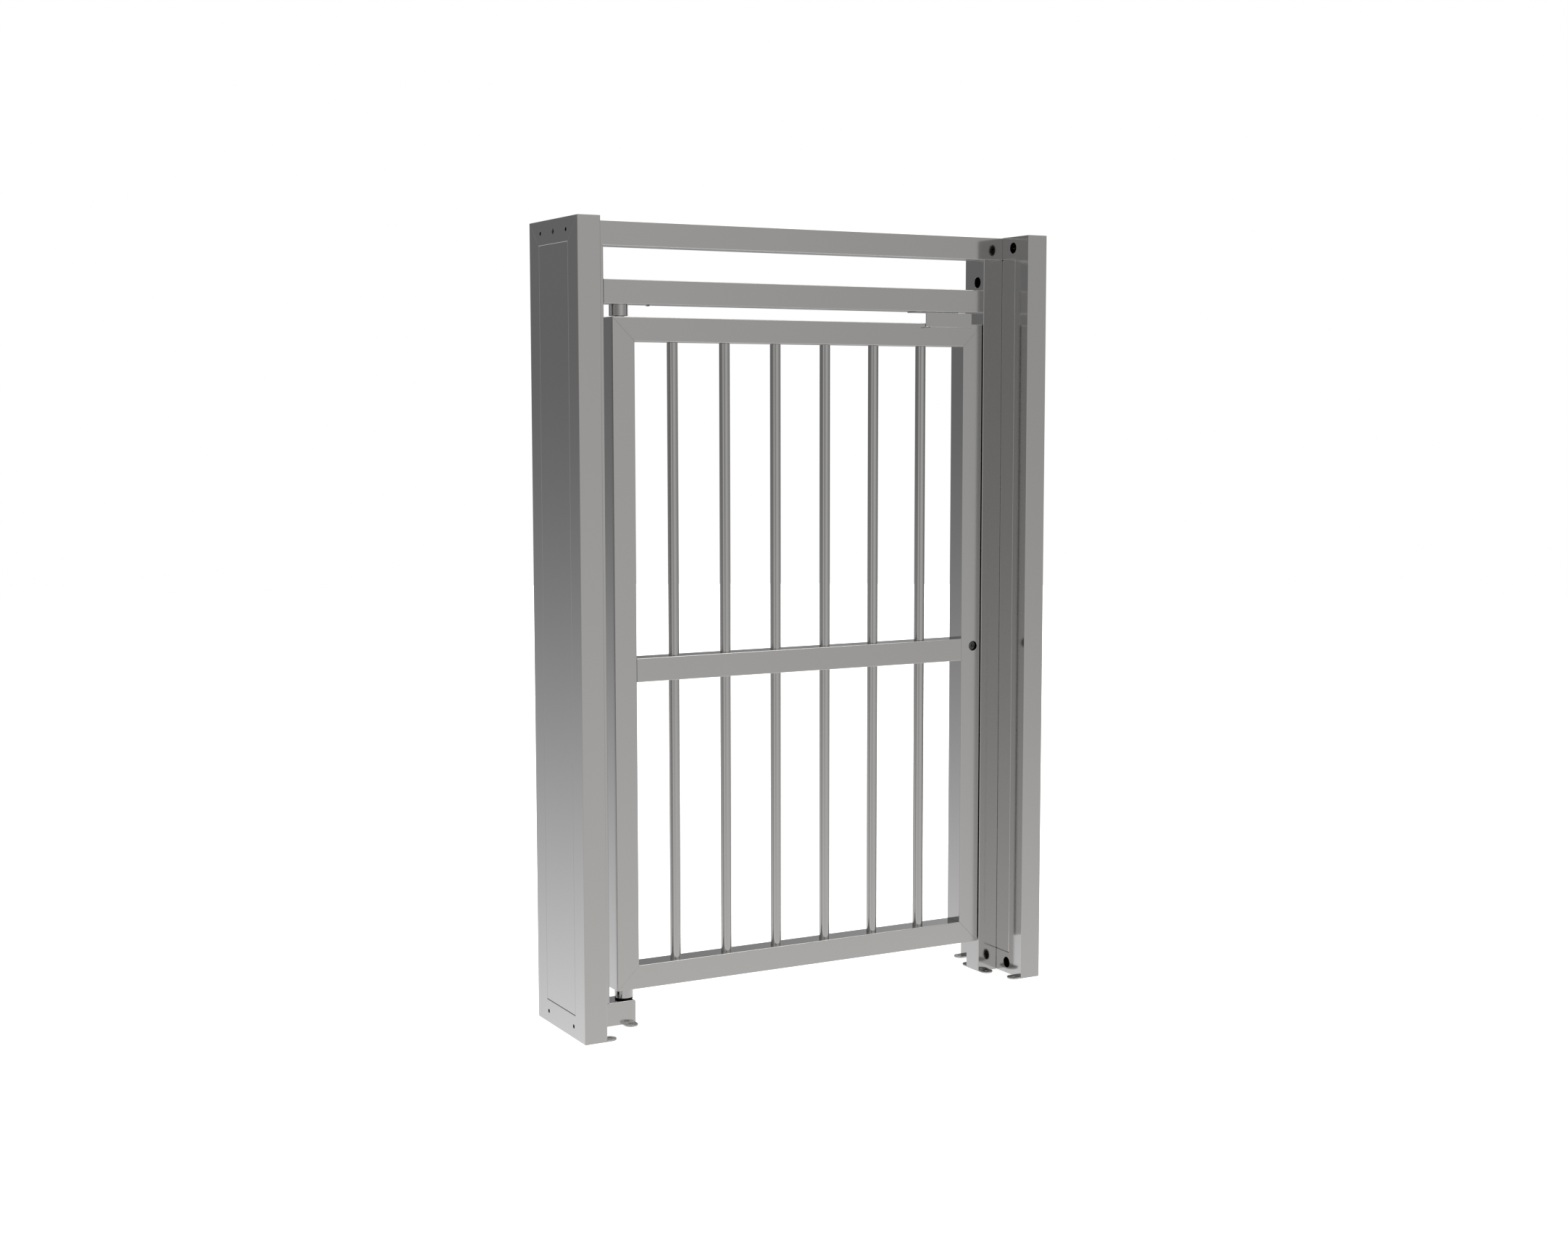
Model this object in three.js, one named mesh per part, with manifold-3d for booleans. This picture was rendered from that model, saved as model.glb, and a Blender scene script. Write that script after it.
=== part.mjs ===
// Full height pass gate: one barred leaf on pivots, hung between two box frames of square tube.
// Millimetres, Z up. X runs from the hinge side to the lock side, Y from the front to the back.
// The origin lies on the floor, in the middle of the gate's length and depth.

import * as THREE from 'three';
import { mergeVertices } from 'three/addons/utils/BufferGeometryUtils.js';
import Module from 'manifold-3d';

const wasm = await Module();
wasm.setup();

// Overall sizes
const gateLength = 1584;
const gateHeight = 2350;
const frameDepth = 350;

// Square tube of the frames, the posts, the beams and the leaf
const tubeSize = 70;
const tubeWall = 3;
const tubeCorner = 2;

// Clearances and cuts
const touchGap = 0.3;
const cutOverrun = 4;

// Counts that round shapes are divided into
const wideSides = 48;
const boreSides = 32;
const barSides = 24;
const screwSides = 20;
const cornerSteps = 2;
const tabSteps = 12;
const socketSides = 6;

// Flush sheet panels of the side frames, folded back at their edges
const panelSheet = 2;
const panelReturn = 15;
const panelSeam = 0.8;

// Holes in the rails of the side frames, for bolts to a neighbouring fence or gate
const cornerHoleInset = 82;
const cornerHoleRadius = 6;
const accessHoleRadius = 17.5;
const beamHoleRadius = 8;

// Beams and jamb posts
const beamGap = 95;
const beamEndPlate = 6;
const jambFootPlate = 6;

// Screws that hold the top beam and the jamb posts to the side frames
const beamScrew = { thread: 4, shoulder: 5.5, head: 7.6, rise: 8, socket: 3.4, depth: 4.5, grip: 5 };
const jambScrew = { thread: 5, head: 8, rise: 10, socket: 4.6, depth: 5.5, grip: 12 };
const beamScrewSink = 1.5;
const screwClearance = 0.4;
const jambScrewDrop = 69;

// Floor block under the hinge jamb, and the foot tabs
const blockPastAxis = 23;
const blockWall = 4;
const blockCorner = 6;
const tabWidth = 41;
const tabReach = 35.5;
const tabThickness = 4.4;
const tabHoleRadius = 7;

// Gaps round the leaf
const hingeGap = 26.2;
const lockGap = 4.7;
const headGap = 36.5;
const sillGap = 31.5;

// Leaf
const midRailHeight = 1052.5;
const barCount = 6;
const barRadius = 16;
const barWall = 2;

// Pivots
const pivotRadius = 27.5;
const pinRadius = 12.5;
const pinClearance = 0.5;
const bushWall = 1.7;
const topPinFlangeRadius = 17;
const topPinFlange = 2;
const topPinSpigot = 20;
const topHousingGap = 3;
const pivotBoreEnd = 4;
const pinEndGap = 1.5;
const washerHeight = 4.7;
const washerLip = 0.8;

// Screw with a domed head under the head beam
const domeFromAxis = 93.5;
const domeRadius = 10;
const domeRise = 4;
const domeSteps = 4;
const domeShank = 5;
const domeShankLength = 12;

// Magnet let into the head beam, and the bracket on the leaf that passes under it
const magnetLength = 156.5;
const magnetDepth = 50;
const magnetHeight = 28;
const magnetDrop = 3.2;
const magnetFromJamb = 88;
const magnetClearance = 0.5;
const bracketLength = 168.5;
const bracketFromEdge = 42;
const bracketSheet = 3;
const bracketFlange = 27;
const bracketBelowTop = 14.2;
const bracketMagnetGap = 0.8;

// Lock in the lock stile
const lockHeight = 1063;
const lockHoleRadius = 15.5;
const lockInset = 26;
const cylinderClearance = 1.2;
const cylinderRecess = 8;
const plugRadius = 9;
const plugClearance = 0.4;
const plugSink = 0.6;
const keywayWidth = 2.6;
const keywayHeight = 11;
const keywayDepth = 5;
const crankTravel = 14;
const crankPinRadius = 3;
const crankRim = 1.1;
const crankSheet = 3;
const crankToBolt = 1.7;
const crankPinBite = 7.8;
const caseHeight = 120;
const caseWall = 2;
const caseFreeRoom = 7.4;
const boltRise = 6.5;
const boltHeight = 27;
const boltThickness = 12;
const boltTailRoom = 10.6;
const boltTipClearance = 1.2;
const boltClearance = 0.4;
const windowClearance = 0.6;
const strikeClearance = 1;
const slotClearance = 0.6;

// Finishes
const brushedTube = { color: 0x9a9997, roughness: 0.32, metalness: 0.9 };
const brushedSheet = { color: 0x8f8e8d, roughness: 0.3, metalness: 0.9 };
const polishedBar = { color: 0xa9a9a8, roughness: 0.16, metalness: 1 };
const polishedPivot = { color: 0xb6b6b5, roughness: 0.1, metalness: 1 };
const plainSteel = { color: 0x86868a, roughness: 0.4, metalness: 0.9 };
const darkSteel = { color: 0x4a4a4d, roughness: 0.45, metalness: 0.8 };
const blackPlastic = { color: 0x101010, roughness: 0.6, metalness: 0 };
const lockBrass = { color: 0xa08a50, roughness: 0.35, metalness: 0.9 };

// Places worked out from the sizes
const halfTube = tubeSize / 2;
const innerSize = tubeSize - 2 * tubeWall;
const halfLength = gateLength / 2;
const halfDepth = frameDepth / 2;
const frameInnerX = halfLength - tubeSize;
const jambFaceX = frameInnerX - touchGap - tubeSize;
const leafWidth = 2 * jambFaceX - hingeGap - lockGap;
const axisX = -jambFaceX + hingeGap + halfTube;
const headBeamBottom = gateHeight - tubeSize - beamGap - tubeSize;
const leafBottom = tubeSize + sillGap;
const leafTop = headBeamBottom - headGap;
const leafHeight = leafTop - leafBottom;
const jambScrewHeight = gateHeight - tubeSize - jambScrewDrop;
const bushRadius = pinRadius + pinClearance + bushWall;
const boreRadius = bushRadius + touchGap;

const ALONG_X = new THREE.Vector3(1, 0, 0);
const ALONG_Y = new THREE.Vector3(0, 1, 0);
const ALONG_Z = new THREE.Vector3(0, 0, 1);
const BACK_X = ALONG_X.clone().negate();
const BACK_Y = ALONG_Y.clone().negate();
const BACK_Z = ALONG_Z.clone().negate();

// Turns a geometry into a solid that can be cut: shared corners are merged, flat slivers left out.
function toSolid(geometry) {
  const bare = geometry.clone();
  bare.deleteAttribute('normal');
  bare.deleteAttribute('uv');
  const merged = mergeVertices(bare);
  const corners = merged.index.array;
  const kept = [];
  for (let i = 0; i < corners.length; i += 3) {
    const [a, b, c] = [corners[i], corners[i + 1], corners[i + 2]];
    if (a !== b && b !== c && c !== a) kept.push(a, b, c);
  }
  const vertProperties = new Float32Array(merged.attributes.position.array);
  const triVerts = new Uint32Array(kept);
  return new wasm.Manifold(new wasm.Mesh({ numProp: 3, vertProperties, triVerts }));
}

// Turns a cut solid back into a geometry.
function toGeometry(solid) {
  const mesh = solid.getMesh();
  const geometry = new THREE.BufferGeometry();
  geometry.setAttribute('position', new THREE.BufferAttribute(new Float32Array(mesh.vertProperties), 3));
  geometry.setIndex(new THREE.BufferAttribute(new Uint32Array(mesh.triVerts), 1));
  geometry.computeVertexNormals();
  return geometry;
}

// A box given by its size and its centre.
function block(sizeX, sizeY, sizeZ, x, y, z) {
  return toSolid(new THREE.BoxGeometry(sizeX, sizeY, sizeZ).translate(x, y, z));
}

// A solid of revolution about local Z from a profile of radius and height.
function turned(profile, sides) {
  const points = profile.map(([radius, height]) => new THREE.Vector2(radius, height));
  return toSolid(new THREE.LatheGeometry(points, sides).rotateX(Math.PI / 2));
}

// A rod about local Z, from one height to another.
function rod(radius, low, high, sides) {
  return turned([[0, low], [radius, low], [radius, high], [0, high]], sides);
}

// A ring about local Z, from one height to another.
function ring(inner, outer, low, high, sides) {
  return turned([[inner, low], [outer, low], [outer, high], [inner, high], [inner, low]], sides);
}

// A rod lying along local X, its axis at the given y and z.
function crossRod(radius, low, high, y, z, sides) {
  const geometry = toGeometry(rod(radius, low, high, sides));
  return toSolid(geometry.rotateY(Math.PI / 2).translate(0, y, z));
}

// A square with rounded corners, the section of the tube.
function tubeSection() {
  const straight = halfTube - tubeCorner;
  const section = new THREE.Shape();
  section.moveTo(-straight, -halfTube);
  section.lineTo(straight, -halfTube);
  section.absarc(straight, -straight, tubeCorner, -Math.PI / 2, 0);
  section.lineTo(halfTube, straight);
  section.absarc(straight, straight, tubeCorner, 0, Math.PI / 2);
  section.lineTo(-straight, halfTube);
  section.absarc(-straight, straight, tubeCorner, Math.PI / 2, Math.PI);
  section.lineTo(-halfTube, -straight);
  section.absarc(-straight, -straight, tubeCorner, Math.PI, Math.PI * 1.5);
  return section;
}

// A square tube along local Y from 0 to its length. Each end is open, or closed by a wall.
function squareTube(length, startWall = 0, endWall = 0) {
  const settings = { depth: length, bevelEnabled: false, curveSegments: cornerSteps };
  const outside = toSolid(new THREE.ExtrudeGeometry(tubeSection(), settings).rotateX(-Math.PI / 2));
  const voidLow = startWall > 0 ? startWall : -cutOverrun;
  const voidHigh = endWall > 0 ? length - endWall : length + cutOverrun;
  const voidMiddle = (voidLow + voidHigh) / 2;
  return outside.subtract(block(innerSize, voidHigh - voidLow, innerSize, 0, voidMiddle, 0));
}

// A square tube whose ends are mitred at 45 degrees. Its long side is at local minus X.
function mitredTube(length) {
  const reach = halfTube + cutOverrun;
  const setBack = touchGap / Math.SQRT2;
  const longEnd = setBack - cutOverrun;
  const shortEnd = setBack + tubeSize + cutOverrun;
  const outline = new THREE.Shape();
  outline.moveTo(-reach, longEnd);
  outline.lineTo(reach, shortEnd);
  outline.lineTo(reach, length - shortEnd);
  outline.lineTo(-reach, length - longEnd);
  const trim = new THREE.ExtrudeGeometry(outline, { depth: 2 * reach, bevelEnabled: false });
  return squareTube(length).intersect(toSolid(trim.translate(0, 0, -reach)));
}

// A hole through one wall of a tube along local Y. The wall is named by the side it is on.
function wallHole(radius, side, along, sides) {
  const inner = halfTube - tubeWall - cutOverrun;
  const outer = halfTube + cutOverrun;
  const [low, high] = side > 0 ? [inner, outer] : [-outer, -inner];
  return toSolid(toGeometry(rod(radius, low, high, sides)).translate(0, along, 0));
}

// A socket head screw along local Z. The head's underside is at 0 and the thread runs up from it,
// after a thicker shoulder if reach gives one a length.
function socketScrew(size, length, reach = 0) {
  const profile = [[0, -size.rise], [size.head, -size.rise], [size.head, 0]];
  if (reach > 0) profile.push([size.shoulder, 0], [size.shoulder, reach]);
  profile.push([size.thread, reach], [size.thread, length], [0, length]);
  const socket = rod(size.socket, -size.rise - cutOverrun, size.depth - size.rise, socketSides);
  return turned(profile, screwSides).subtract(socket);
}

// Adds a solid as a named piece with a finish of its own.
function addPiece(parent, name, solid, finish) {
  const mesh = new THREE.Mesh(toGeometry(solid), new THREE.MeshStandardMaterial(finish));
  mesh.name = name;
  parent.add(mesh);
  return mesh;
}

// Lays a tube so that its local X points across and its local Y points along.
function lay(mesh, across, along, x, y, z) {
  const third = across.clone().cross(along);
  mesh.quaternion.setFromRotationMatrix(new THREE.Matrix4().makeBasis(across, along, third));
  mesh.position.set(x, y, z);
}

// A foot tab on the floor that reaches out along local X, with a round end and an anchor hole.
function footTab() {
  const half = tabWidth / 2;
  const centre = tabReach - half;
  const outline = new THREE.Shape();
  outline.moveTo(0, -half);
  outline.lineTo(centre, -half);
  outline.absarc(centre, 0, half, -Math.PI / 2, Math.PI / 2);
  outline.lineTo(0, half);
  const hole = new THREE.Path();
  hole.absarc(centre, 0, tabHoleRadius, 0, Math.PI * 2, true);
  outline.holes.push(hole);
  const settings = { depth: tabThickness, bevelEnabled: false, curveSegments: tabSteps };
  return toSolid(new THREE.ExtrudeGeometry(outline, settings));
}

function addFootTab(parent, name, turn, x, y) {
  const tab = addPiece(parent, name, footTab(), brushedTube);
  tab.rotation.z = turn;
  tab.position.set(x, y, 0);
}

// A flush panel of a side frame: a sheet with its four edges folded in, facing local minus X.
function framePanel() {
  const width = frameDepth - 2 * tubeSize - 2 * panelSeam;
  const height = gateHeight - 2 * tubeSize - 2 * panelSeam;
  const tray = block(panelReturn, width, height, panelReturn / 2, halfDepth, gateHeight / 2);
  const pocketDepth = panelReturn - panelSheet + cutOverrun;
  const pocketWidth = width - 2 * panelSheet;
  const pocketHeight = height - 2 * panelSheet;
  const pocketX = panelSheet + pocketDepth / 2;
  return tray.subtract(block(pocketDepth, pocketWidth, pocketHeight, pocketX, halfDepth, gateHeight / 2));
}

// A rail of a side frame along local Y, with its bolt holes. outside is the side of the outer wall.
function frameRail(outside, isTop) {
  let rail = mitredTube(frameDepth);
  for (const along of [cornerHoleInset, frameDepth - cornerHoleInset]) {
    rail = rail.subtract(wallHole(cornerHoleRadius, outside, along, screwSides));
    rail = rail.subtract(wallHole(accessHoleRadius, -outside, along, boreSides));
  }
  if (isTop) {
    rail = rail.subtract(wallHole(beamHoleRadius, outside, halfDepth, boreSides));
    rail = rail.subtract(wallHole(beamScrew.thread + screwClearance, -outside, halfDepth, screwSides));
  }
  return rail;
}

// One side frame in its own axes: X from its outer face inwards, Y along its depth.
// nearName and farName say which post stands at the low and at the high end of Y.
function sideFrame(side, nearName, farName) {
  const frame = new THREE.Group();
  const nearPost = addPiece(frame, `${side}_${nearName}_post`, mitredTube(gateHeight), brushedTube);
  lay(nearPost, ALONG_Y, ALONG_Z, halfTube, halfTube, 0);
  const farPost = addPiece(frame, `${side}_${farName}_post`, mitredTube(gateHeight), brushedTube);
  lay(farPost, BACK_Y, ALONG_Z, halfTube, frameDepth - halfTube, 0);
  const topRail = addPiece(frame, `${side}_frame_top_rail`, frameRail(-1, true), brushedTube);
  lay(topRail, BACK_Z, ALONG_Y, halfTube, 0, gateHeight - halfTube);
  const bottomRail = addPiece(frame, `${side}_frame_bottom_rail`, frameRail(1, false), brushedTube);
  lay(bottomRail, ALONG_Z, ALONG_Y, halfTube, 0, halfTube);

  addPiece(frame, `${side}_outer_panel`, framePanel(), brushedSheet);
  const holeRadius = jambScrew.thread + screwClearance;
  const holeHeight = gateHeight - jambScrewHeight;
  const hole = crossRod(holeRadius, -cutOverrun, panelReturn, halfDepth, holeHeight, screwSides);
  const innerPanel = addPiece(frame, `${side}_inner_panel`, framePanel().subtract(hole), brushedSheet);
  innerPanel.rotation.y = Math.PI;
  innerPanel.position.set(tubeSize, 0, gateHeight);

  addFootTab(frame, `${side}_${nearName}_foot_tab`, 0, tubeSize + touchGap, tabWidth / 2);
  addFootTab(frame, `${side}_${farName}_foot_tab`, 0, tubeSize + touchGap, frameDepth - tabWidth / 2);

  // The beam screw's head lies in the outer wall's hole, and its shoulder bears on the inner wall.
  const headUnderside = beamScrewSink + beamScrew.rise;
  const topReach = tubeSize - tubeWall - touchGap - headUnderside;
  const topLength = topReach + tubeWall + 2 * touchGap + beamEndPlate + beamScrew.grip;
  const longScrew = socketScrew(beamScrew, topLength, topReach);
  const topScrew = addPiece(frame, `${side}_beam_screw`, longScrew, darkSteel);
  topScrew.rotation.y = Math.PI / 2;
  topScrew.position.set(headUnderside, halfDepth, gateHeight - halfTube);

  const sideLength = tubeWall + 2 * touchGap + panelSheet + jambScrew.grip;
  const sideScrew = addPiece(frame, `${side}_jamb_screw`, socketScrew(jambScrew, sideLength), darkSteel);
  sideScrew.rotation.y = -Math.PI / 2;
  sideScrew.position.set(tubeSize + 2 * touchGap + tubeWall, halfDepth, jambScrewHeight);
  return frame;
}

// A jamb post along local Y. Local X points to the walkway. low is the height of its foot.
function jambPost(low, footWall = 0) {
  const post = squareTube(gateHeight - tubeSize - touchGap - low, footWall);
  const height = jambScrewHeight - low;
  const holeRadius = jambScrew.thread + screwClearance;
  const screwHole = crossRod(holeRadius, -halfTube - cutOverrun, 0, height, 0, screwSides);
  const accessHole = crossRod(accessHoleRadius, 0, halfTube + cutOverrun, height, 0, boreSides);
  return post.subtract(screwHole).subtract(accessHole);
}

// The hinge side jamb stands on the floor block, the other on a foot plate of its own.
function addJambs(gate) {
  const blockTop = tubeSize + touchGap;
  const centreX = jambFaceX + halfTube;
  const hingeJamb = addPiece(gate, 'left_jamb_post', jambPost(blockTop), brushedTube);
  lay(hingeJamb, ALONG_X, ALONG_Z, -centreX, 0, blockTop);

  const windowSize = boltThickness + 2 * strikeClearance;
  const windowHeight = boltHeight + 2 * strikeClearance;
  const depth = tubeWall + cutOverrun;
  const window = block(depth, windowHeight, windowSize, halfTube - tubeWall / 2, lockHeight + boltRise, 0);
  const lockPost = jambPost(0, jambFootPlate).subtract(window);
  const lockJamb = addPiece(gate, 'right_jamb_post', lockPost, brushedTube);
  lay(lockJamb, BACK_X, ALONG_Z, centreX, 0, 0);

  const tabX = jambFaceX + tabWidth / 2;
  addFootTab(gate, 'right_jamb_front_tab', -Math.PI / 2, tabX, -halfTube - touchGap);
  addFootTab(gate, 'right_jamb_rear_tab', Math.PI / 2, tabX, halfTube + touchGap);
}

// The top beam has end plates that the beam screws go into.
function addTopBeam(gate) {
  const length = 2 * (frameInnerX - touchGap);
  let beam = squareTube(length, beamEndPlate, beamEndPlate);
  const hole = rod(beamScrew.thread + screwClearance, -cutOverrun, length + cutOverrun, screwSides);
  beam = beam.subtract(toSolid(toGeometry(hole).rotateX(-Math.PI / 2)));
  const mesh = addPiece(gate, 'top_beam', beam, brushedTube);
  lay(mesh, BACK_Z, ALONG_X, -length / 2, 0, gateHeight - halfTube);
}

// The head beam carries the top pivot and the magnet. Its underside is at local X.
function addHeadBeam(gate) {
  const length = 2 * (jambFaceX - touchGap);
  const startX = -length / 2;
  const magnetX = jambFaceX - magnetFromJamb - magnetLength / 2;
  const pocketLength = magnetLength + 2 * magnetClearance;
  const pocketWidth = magnetDepth + 2 * magnetClearance;
  const pocketDepth = tubeWall + cutOverrun;
  const pocket = block(pocketDepth, pocketLength, pocketWidth, halfTube - tubeWall / 2, magnetX - startX, 0);
  const domeX = axisX + domeFromAxis;
  const holeRadius = domeShank + screwClearance;
  const domeHole = crossRod(holeRadius, 0, halfTube + cutOverrun, domeX - startX, 0, screwSides);
  const beam = squareTube(length).subtract(pocket).subtract(domeHole);
  const mesh = addPiece(gate, 'head_beam', beam, brushedTube);
  lay(mesh, BACK_Z, ALONG_X, startX, 0, headBeamBottom + halfTube);

  const magnetBottom = headBeamBottom - magnetDrop;
  const magnet = block(magnetLength, magnetDepth, magnetHeight, magnetX, 0, magnetBottom + magnetHeight / 2);
  addPiece(gate, 'lock_magnet', magnet, plainSteel);

  const dome = addPiece(gate, 'head_beam_dome_screw', domeScrew(), plainSteel);
  dome.position.set(domeX, 0, headBeamBottom);
}

// A screw along local Z whose head is a slice of a ball and hangs just below 0.
function domeScrew() {
  const ballRadius = (domeRadius ** 2 + domeRise ** 2) / (2 * domeRise);
  const fullAngle = Math.asin(domeRadius / ballRadius);
  const profile = [];
  for (let i = 0; i <= domeSteps; i += 1) {
    const angle = (fullAngle * i) / domeSteps;
    profile.push([ballRadius * Math.sin(angle), ballRadius * (1 - Math.cos(angle)) - domeRise - touchGap]);
  }
  profile.push([domeShank, -touchGap], [domeShank, domeShankLength], [0, domeShankLength]);
  return turned(profile, screwSides);
}

// The floor block reaches from the side frame past the pivot. It is open towards the side frame.
function addFloorBlock(gate) {
  const startX = -frameInnerX + touchGap;
  const length = axisX + blockPastAxis - startX;
  const outline = new THREE.Shape();
  outline.moveTo(0, 0);
  outline.lineTo(length, 0);
  outline.lineTo(length, tubeSize - blockCorner);
  outline.absarc(length - blockCorner, tubeSize - blockCorner, blockCorner, 0, Math.PI / 2);
  outline.lineTo(0, tubeSize);
  const settings = { depth: tubeSize, bevelEnabled: false, curveSegments: cornerSteps };
  const body = new THREE.ExtrudeGeometry(outline, settings);
  body.rotateX(Math.PI / 2).translate(0, halfTube, 0);
  const voidLength = length - blockWall + cutOverrun;
  const voidX = (length - blockWall - cutOverrun) / 2;
  const voidSize = tubeSize - 2 * blockWall;
  const pinX = axisX - startX;
  const pinHole = rod(pinRadius + pinClearance, halfTube, tubeSize + cutOverrun, boreSides);
  const shell = toSolid(body)
    .subtract(block(voidLength, voidSize, voidSize, voidX, 0, halfTube))
    .subtract(toSolid(toGeometry(pinHole).translate(pinX, 0, 0)));
  const mesh = addPiece(gate, 'hinge_floor_block', shell, brushedTube);
  mesh.position.set(startX, 0, 0);

  addFootTab(gate, 'floor_block_front_tab', -Math.PI / 2, axisX, -halfTube - touchGap);
  addFootTab(gate, 'floor_block_rear_tab', Math.PI / 2, axisX, halfTube + touchGap);
}

// Fixed pivot pieces: housing and bush under the head beam, pin and washer on the floor block.
function addFixedPivots(gate) {
  const pivots = new THREE.Group();
  pivots.position.set(axisX, 0, 0);
  gate.add(pivots);

  const housingLow = leafTop + topHousingGap;
  const housingHigh = headBeamBottom - touchGap;
  const boreTop = housingHigh - pivotBoreEnd;
  const housing = turned([
    [0, boreTop],
    [boreRadius, boreTop],
    [boreRadius, housingLow],
    [pivotRadius, housingLow],
    [pivotRadius, housingHigh],
    [0, housingHigh],
  ], wideSides);
  addPiece(pivots, 'top_pivot_housing', housing, polishedPivot);
  const bushInner = pinRadius + pinClearance;
  const topBush = ring(bushInner, bushRadius, housingLow + touchGap, boreTop - touchGap, boreSides);
  addPiece(pivots, 'top_pivot_bush', topBush, lockBrass);

  const pinLow = blockWall + touchGap;
  const pinHigh = leafBottom - touchGap - pivotBoreEnd - pinEndGap;
  addPiece(pivots, 'bottom_pivot_pin', rod(pinRadius, pinLow, pinHigh, boreSides), plainSteel);
  const washerLow = tubeSize + touchGap;
  const washerOuter = pivotRadius - washerLip;
  const washer = ring(pinRadius + pinClearance, washerOuter, washerLow, washerLow + washerHeight, wideSides);
  addPiece(pivots, 'thrust_washer', washer, blackPlastic);
}

// Pivot pieces that turn with the leaf: the top pin, and the collar and bush over the bottom pin.
function addLeafPivots(leaf) {
  const flangeLow = leafTop + touchGap;
  const pinHigh = headBeamBottom - touchGap - pivotBoreEnd - pinEndGap;
  const topPin = turned([
    [0, leafTop - topPinSpigot],
    [pinRadius, leafTop - topPinSpigot],
    [pinRadius, flangeLow],
    [topPinFlangeRadius, flangeLow],
    [topPinFlangeRadius, flangeLow + topPinFlange],
    [pinRadius, flangeLow + topPinFlange],
    [pinRadius, pinHigh],
    [0, pinHigh],
  ], boreSides);
  addPiece(leaf, 'top_pivot_pin', topPin, plainSteel);

  const collarLow = tubeSize + touchGap + washerHeight + touchGap;
  const collarHigh = leafBottom - touchGap;
  const boreTop = collarHigh - pivotBoreEnd;
  const collar = turned([
    [0, boreTop],
    [boreRadius, boreTop],
    [boreRadius, collarLow],
    [pivotRadius, collarLow],
    [pivotRadius, collarHigh],
    [0, collarHigh],
  ], wideSides);
  addPiece(leaf, 'bottom_pivot_collar', collar, polishedPivot);
  const bushInner = pinRadius + pinClearance;
  const bottomBush = ring(bushInner, bushRadius, collarLow + touchGap, boreTop - touchGap, boreSides);
  addPiece(leaf, 'bottom_pivot_bush', bottomBush, lockBrass);
}

// Stiles and rails of the leaf. The leaf's own X starts at the pivot axis.
function addLeafFrame(leaf) {
  const leftX = -halfTube;
  const lockEdge = leafWidth - halfTube;
  const hingeStile = addPiece(leaf, 'hinge_stile', mitredTube(leafHeight), brushedTube);
  lay(hingeStile, ALONG_X, ALONG_Z, 0, 0, leafBottom);

  // The lock stile's local X points to the hinge side and its local Z to the back.
  const boltMiddle = lockHeight + boltRise - leafBottom;
  const windowHeight = boltHeight + 2 * windowClearance;
  const windowDepth = boltThickness + 2 * windowClearance;
  const wallMiddle = -halfTube + tubeWall / 2;
  const window = block(tubeWall + cutOverrun, windowHeight, windowDepth, wallMiddle, boltMiddle, 0);
  const holeX = lockInset - halfTube;
  const hole = rod(lockHoleRadius, -halfTube - cutOverrun, -halfTube + tubeWall + cutOverrun, boreSides);
  const lockHole = toSolid(toGeometry(hole).translate(holeX, lockHeight - leafBottom, 0));
  const stile = mitredTube(leafHeight).subtract(window).subtract(lockHole);
  const lockStile = addPiece(leaf, 'lock_stile', stile, brushedTube);
  lay(lockStile, BACK_X, ALONG_Z, lockEdge - halfTube, 0, leafBottom);

  const pinHole = crossRod(pinRadius + pinClearance, -halfTube - cutOverrun, 0, halfTube, 0, boreSides);
  const topRail = addPiece(leaf, 'leaf_top_rail', mitredTube(leafWidth).subtract(pinHole), brushedTube);
  lay(topRail, BACK_Z, ALONG_X, leftX, 0, leafTop - halfTube);
  const bottomRail = addPiece(leaf, 'leaf_bottom_rail', mitredTube(leafWidth), brushedTube);
  lay(bottomRail, ALONG_Z, ALONG_X, leftX, 0, leafBottom + halfTube);
  const midLength = leafWidth - 2 * tubeSize - 2 * touchGap;
  const midRail = addPiece(leaf, 'leaf_mid_rail', squareTube(midLength), brushedTube);
  lay(midRail, BACK_Z, ALONG_X, halfTube + touchGap, 0, midRailHeight);
}

// Round bars in two rows. They share out the leaf evenly from stile centre to stile centre.
function addBars(leaf) {
  const pitch = (leafWidth - tubeSize) / (barCount + 1);
  const rows = [
    ['upper', midRailHeight + halfTube, leafTop - tubeSize],
    ['lower', leafBottom + tubeSize, midRailHeight - halfTube],
  ];
  for (const [row, low, high] of rows) {
    for (let i = 1; i <= barCount; i += 1) {
      const tube = ring(barRadius - barWall, barRadius, low + touchGap, high - touchGap, barSides);
      const bar = addPiece(leaf, `${row}_bar_${i}`, tube, polishedBar);
      bar.position.x = i * pitch;
    }
  }
}

// An angle on the leaf's front: a leg that stands up to just below the magnet, and a forward flange.
function addKeeperBracket(leaf) {
  const low = leafTop - bracketBelowTop;
  const high = headBeamBottom - magnetDrop - bracketMagnetGap;
  const back = -halfTube - touchGap;
  const outline = new THREE.Shape();
  outline.moveTo(back, low);
  outline.lineTo(back, high);
  outline.lineTo(back - bracketSheet, high);
  outline.lineTo(back - bracketSheet, low + bracketSheet);
  outline.lineTo(back - bracketFlange, low + bracketSheet);
  outline.lineTo(back - bracketFlange, low);
  const angle = new THREE.ExtrudeGeometry(outline, { depth: bracketLength, bevelEnabled: false });
  angle.rotateX(Math.PI / 2).rotateZ(Math.PI / 2);
  const bracket = addPiece(leaf, 'keeper_bracket', toSolid(angle), brushedSheet);
  bracket.position.x = leafWidth - halfTube - bracketFromEdge - bracketLength;
}

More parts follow.
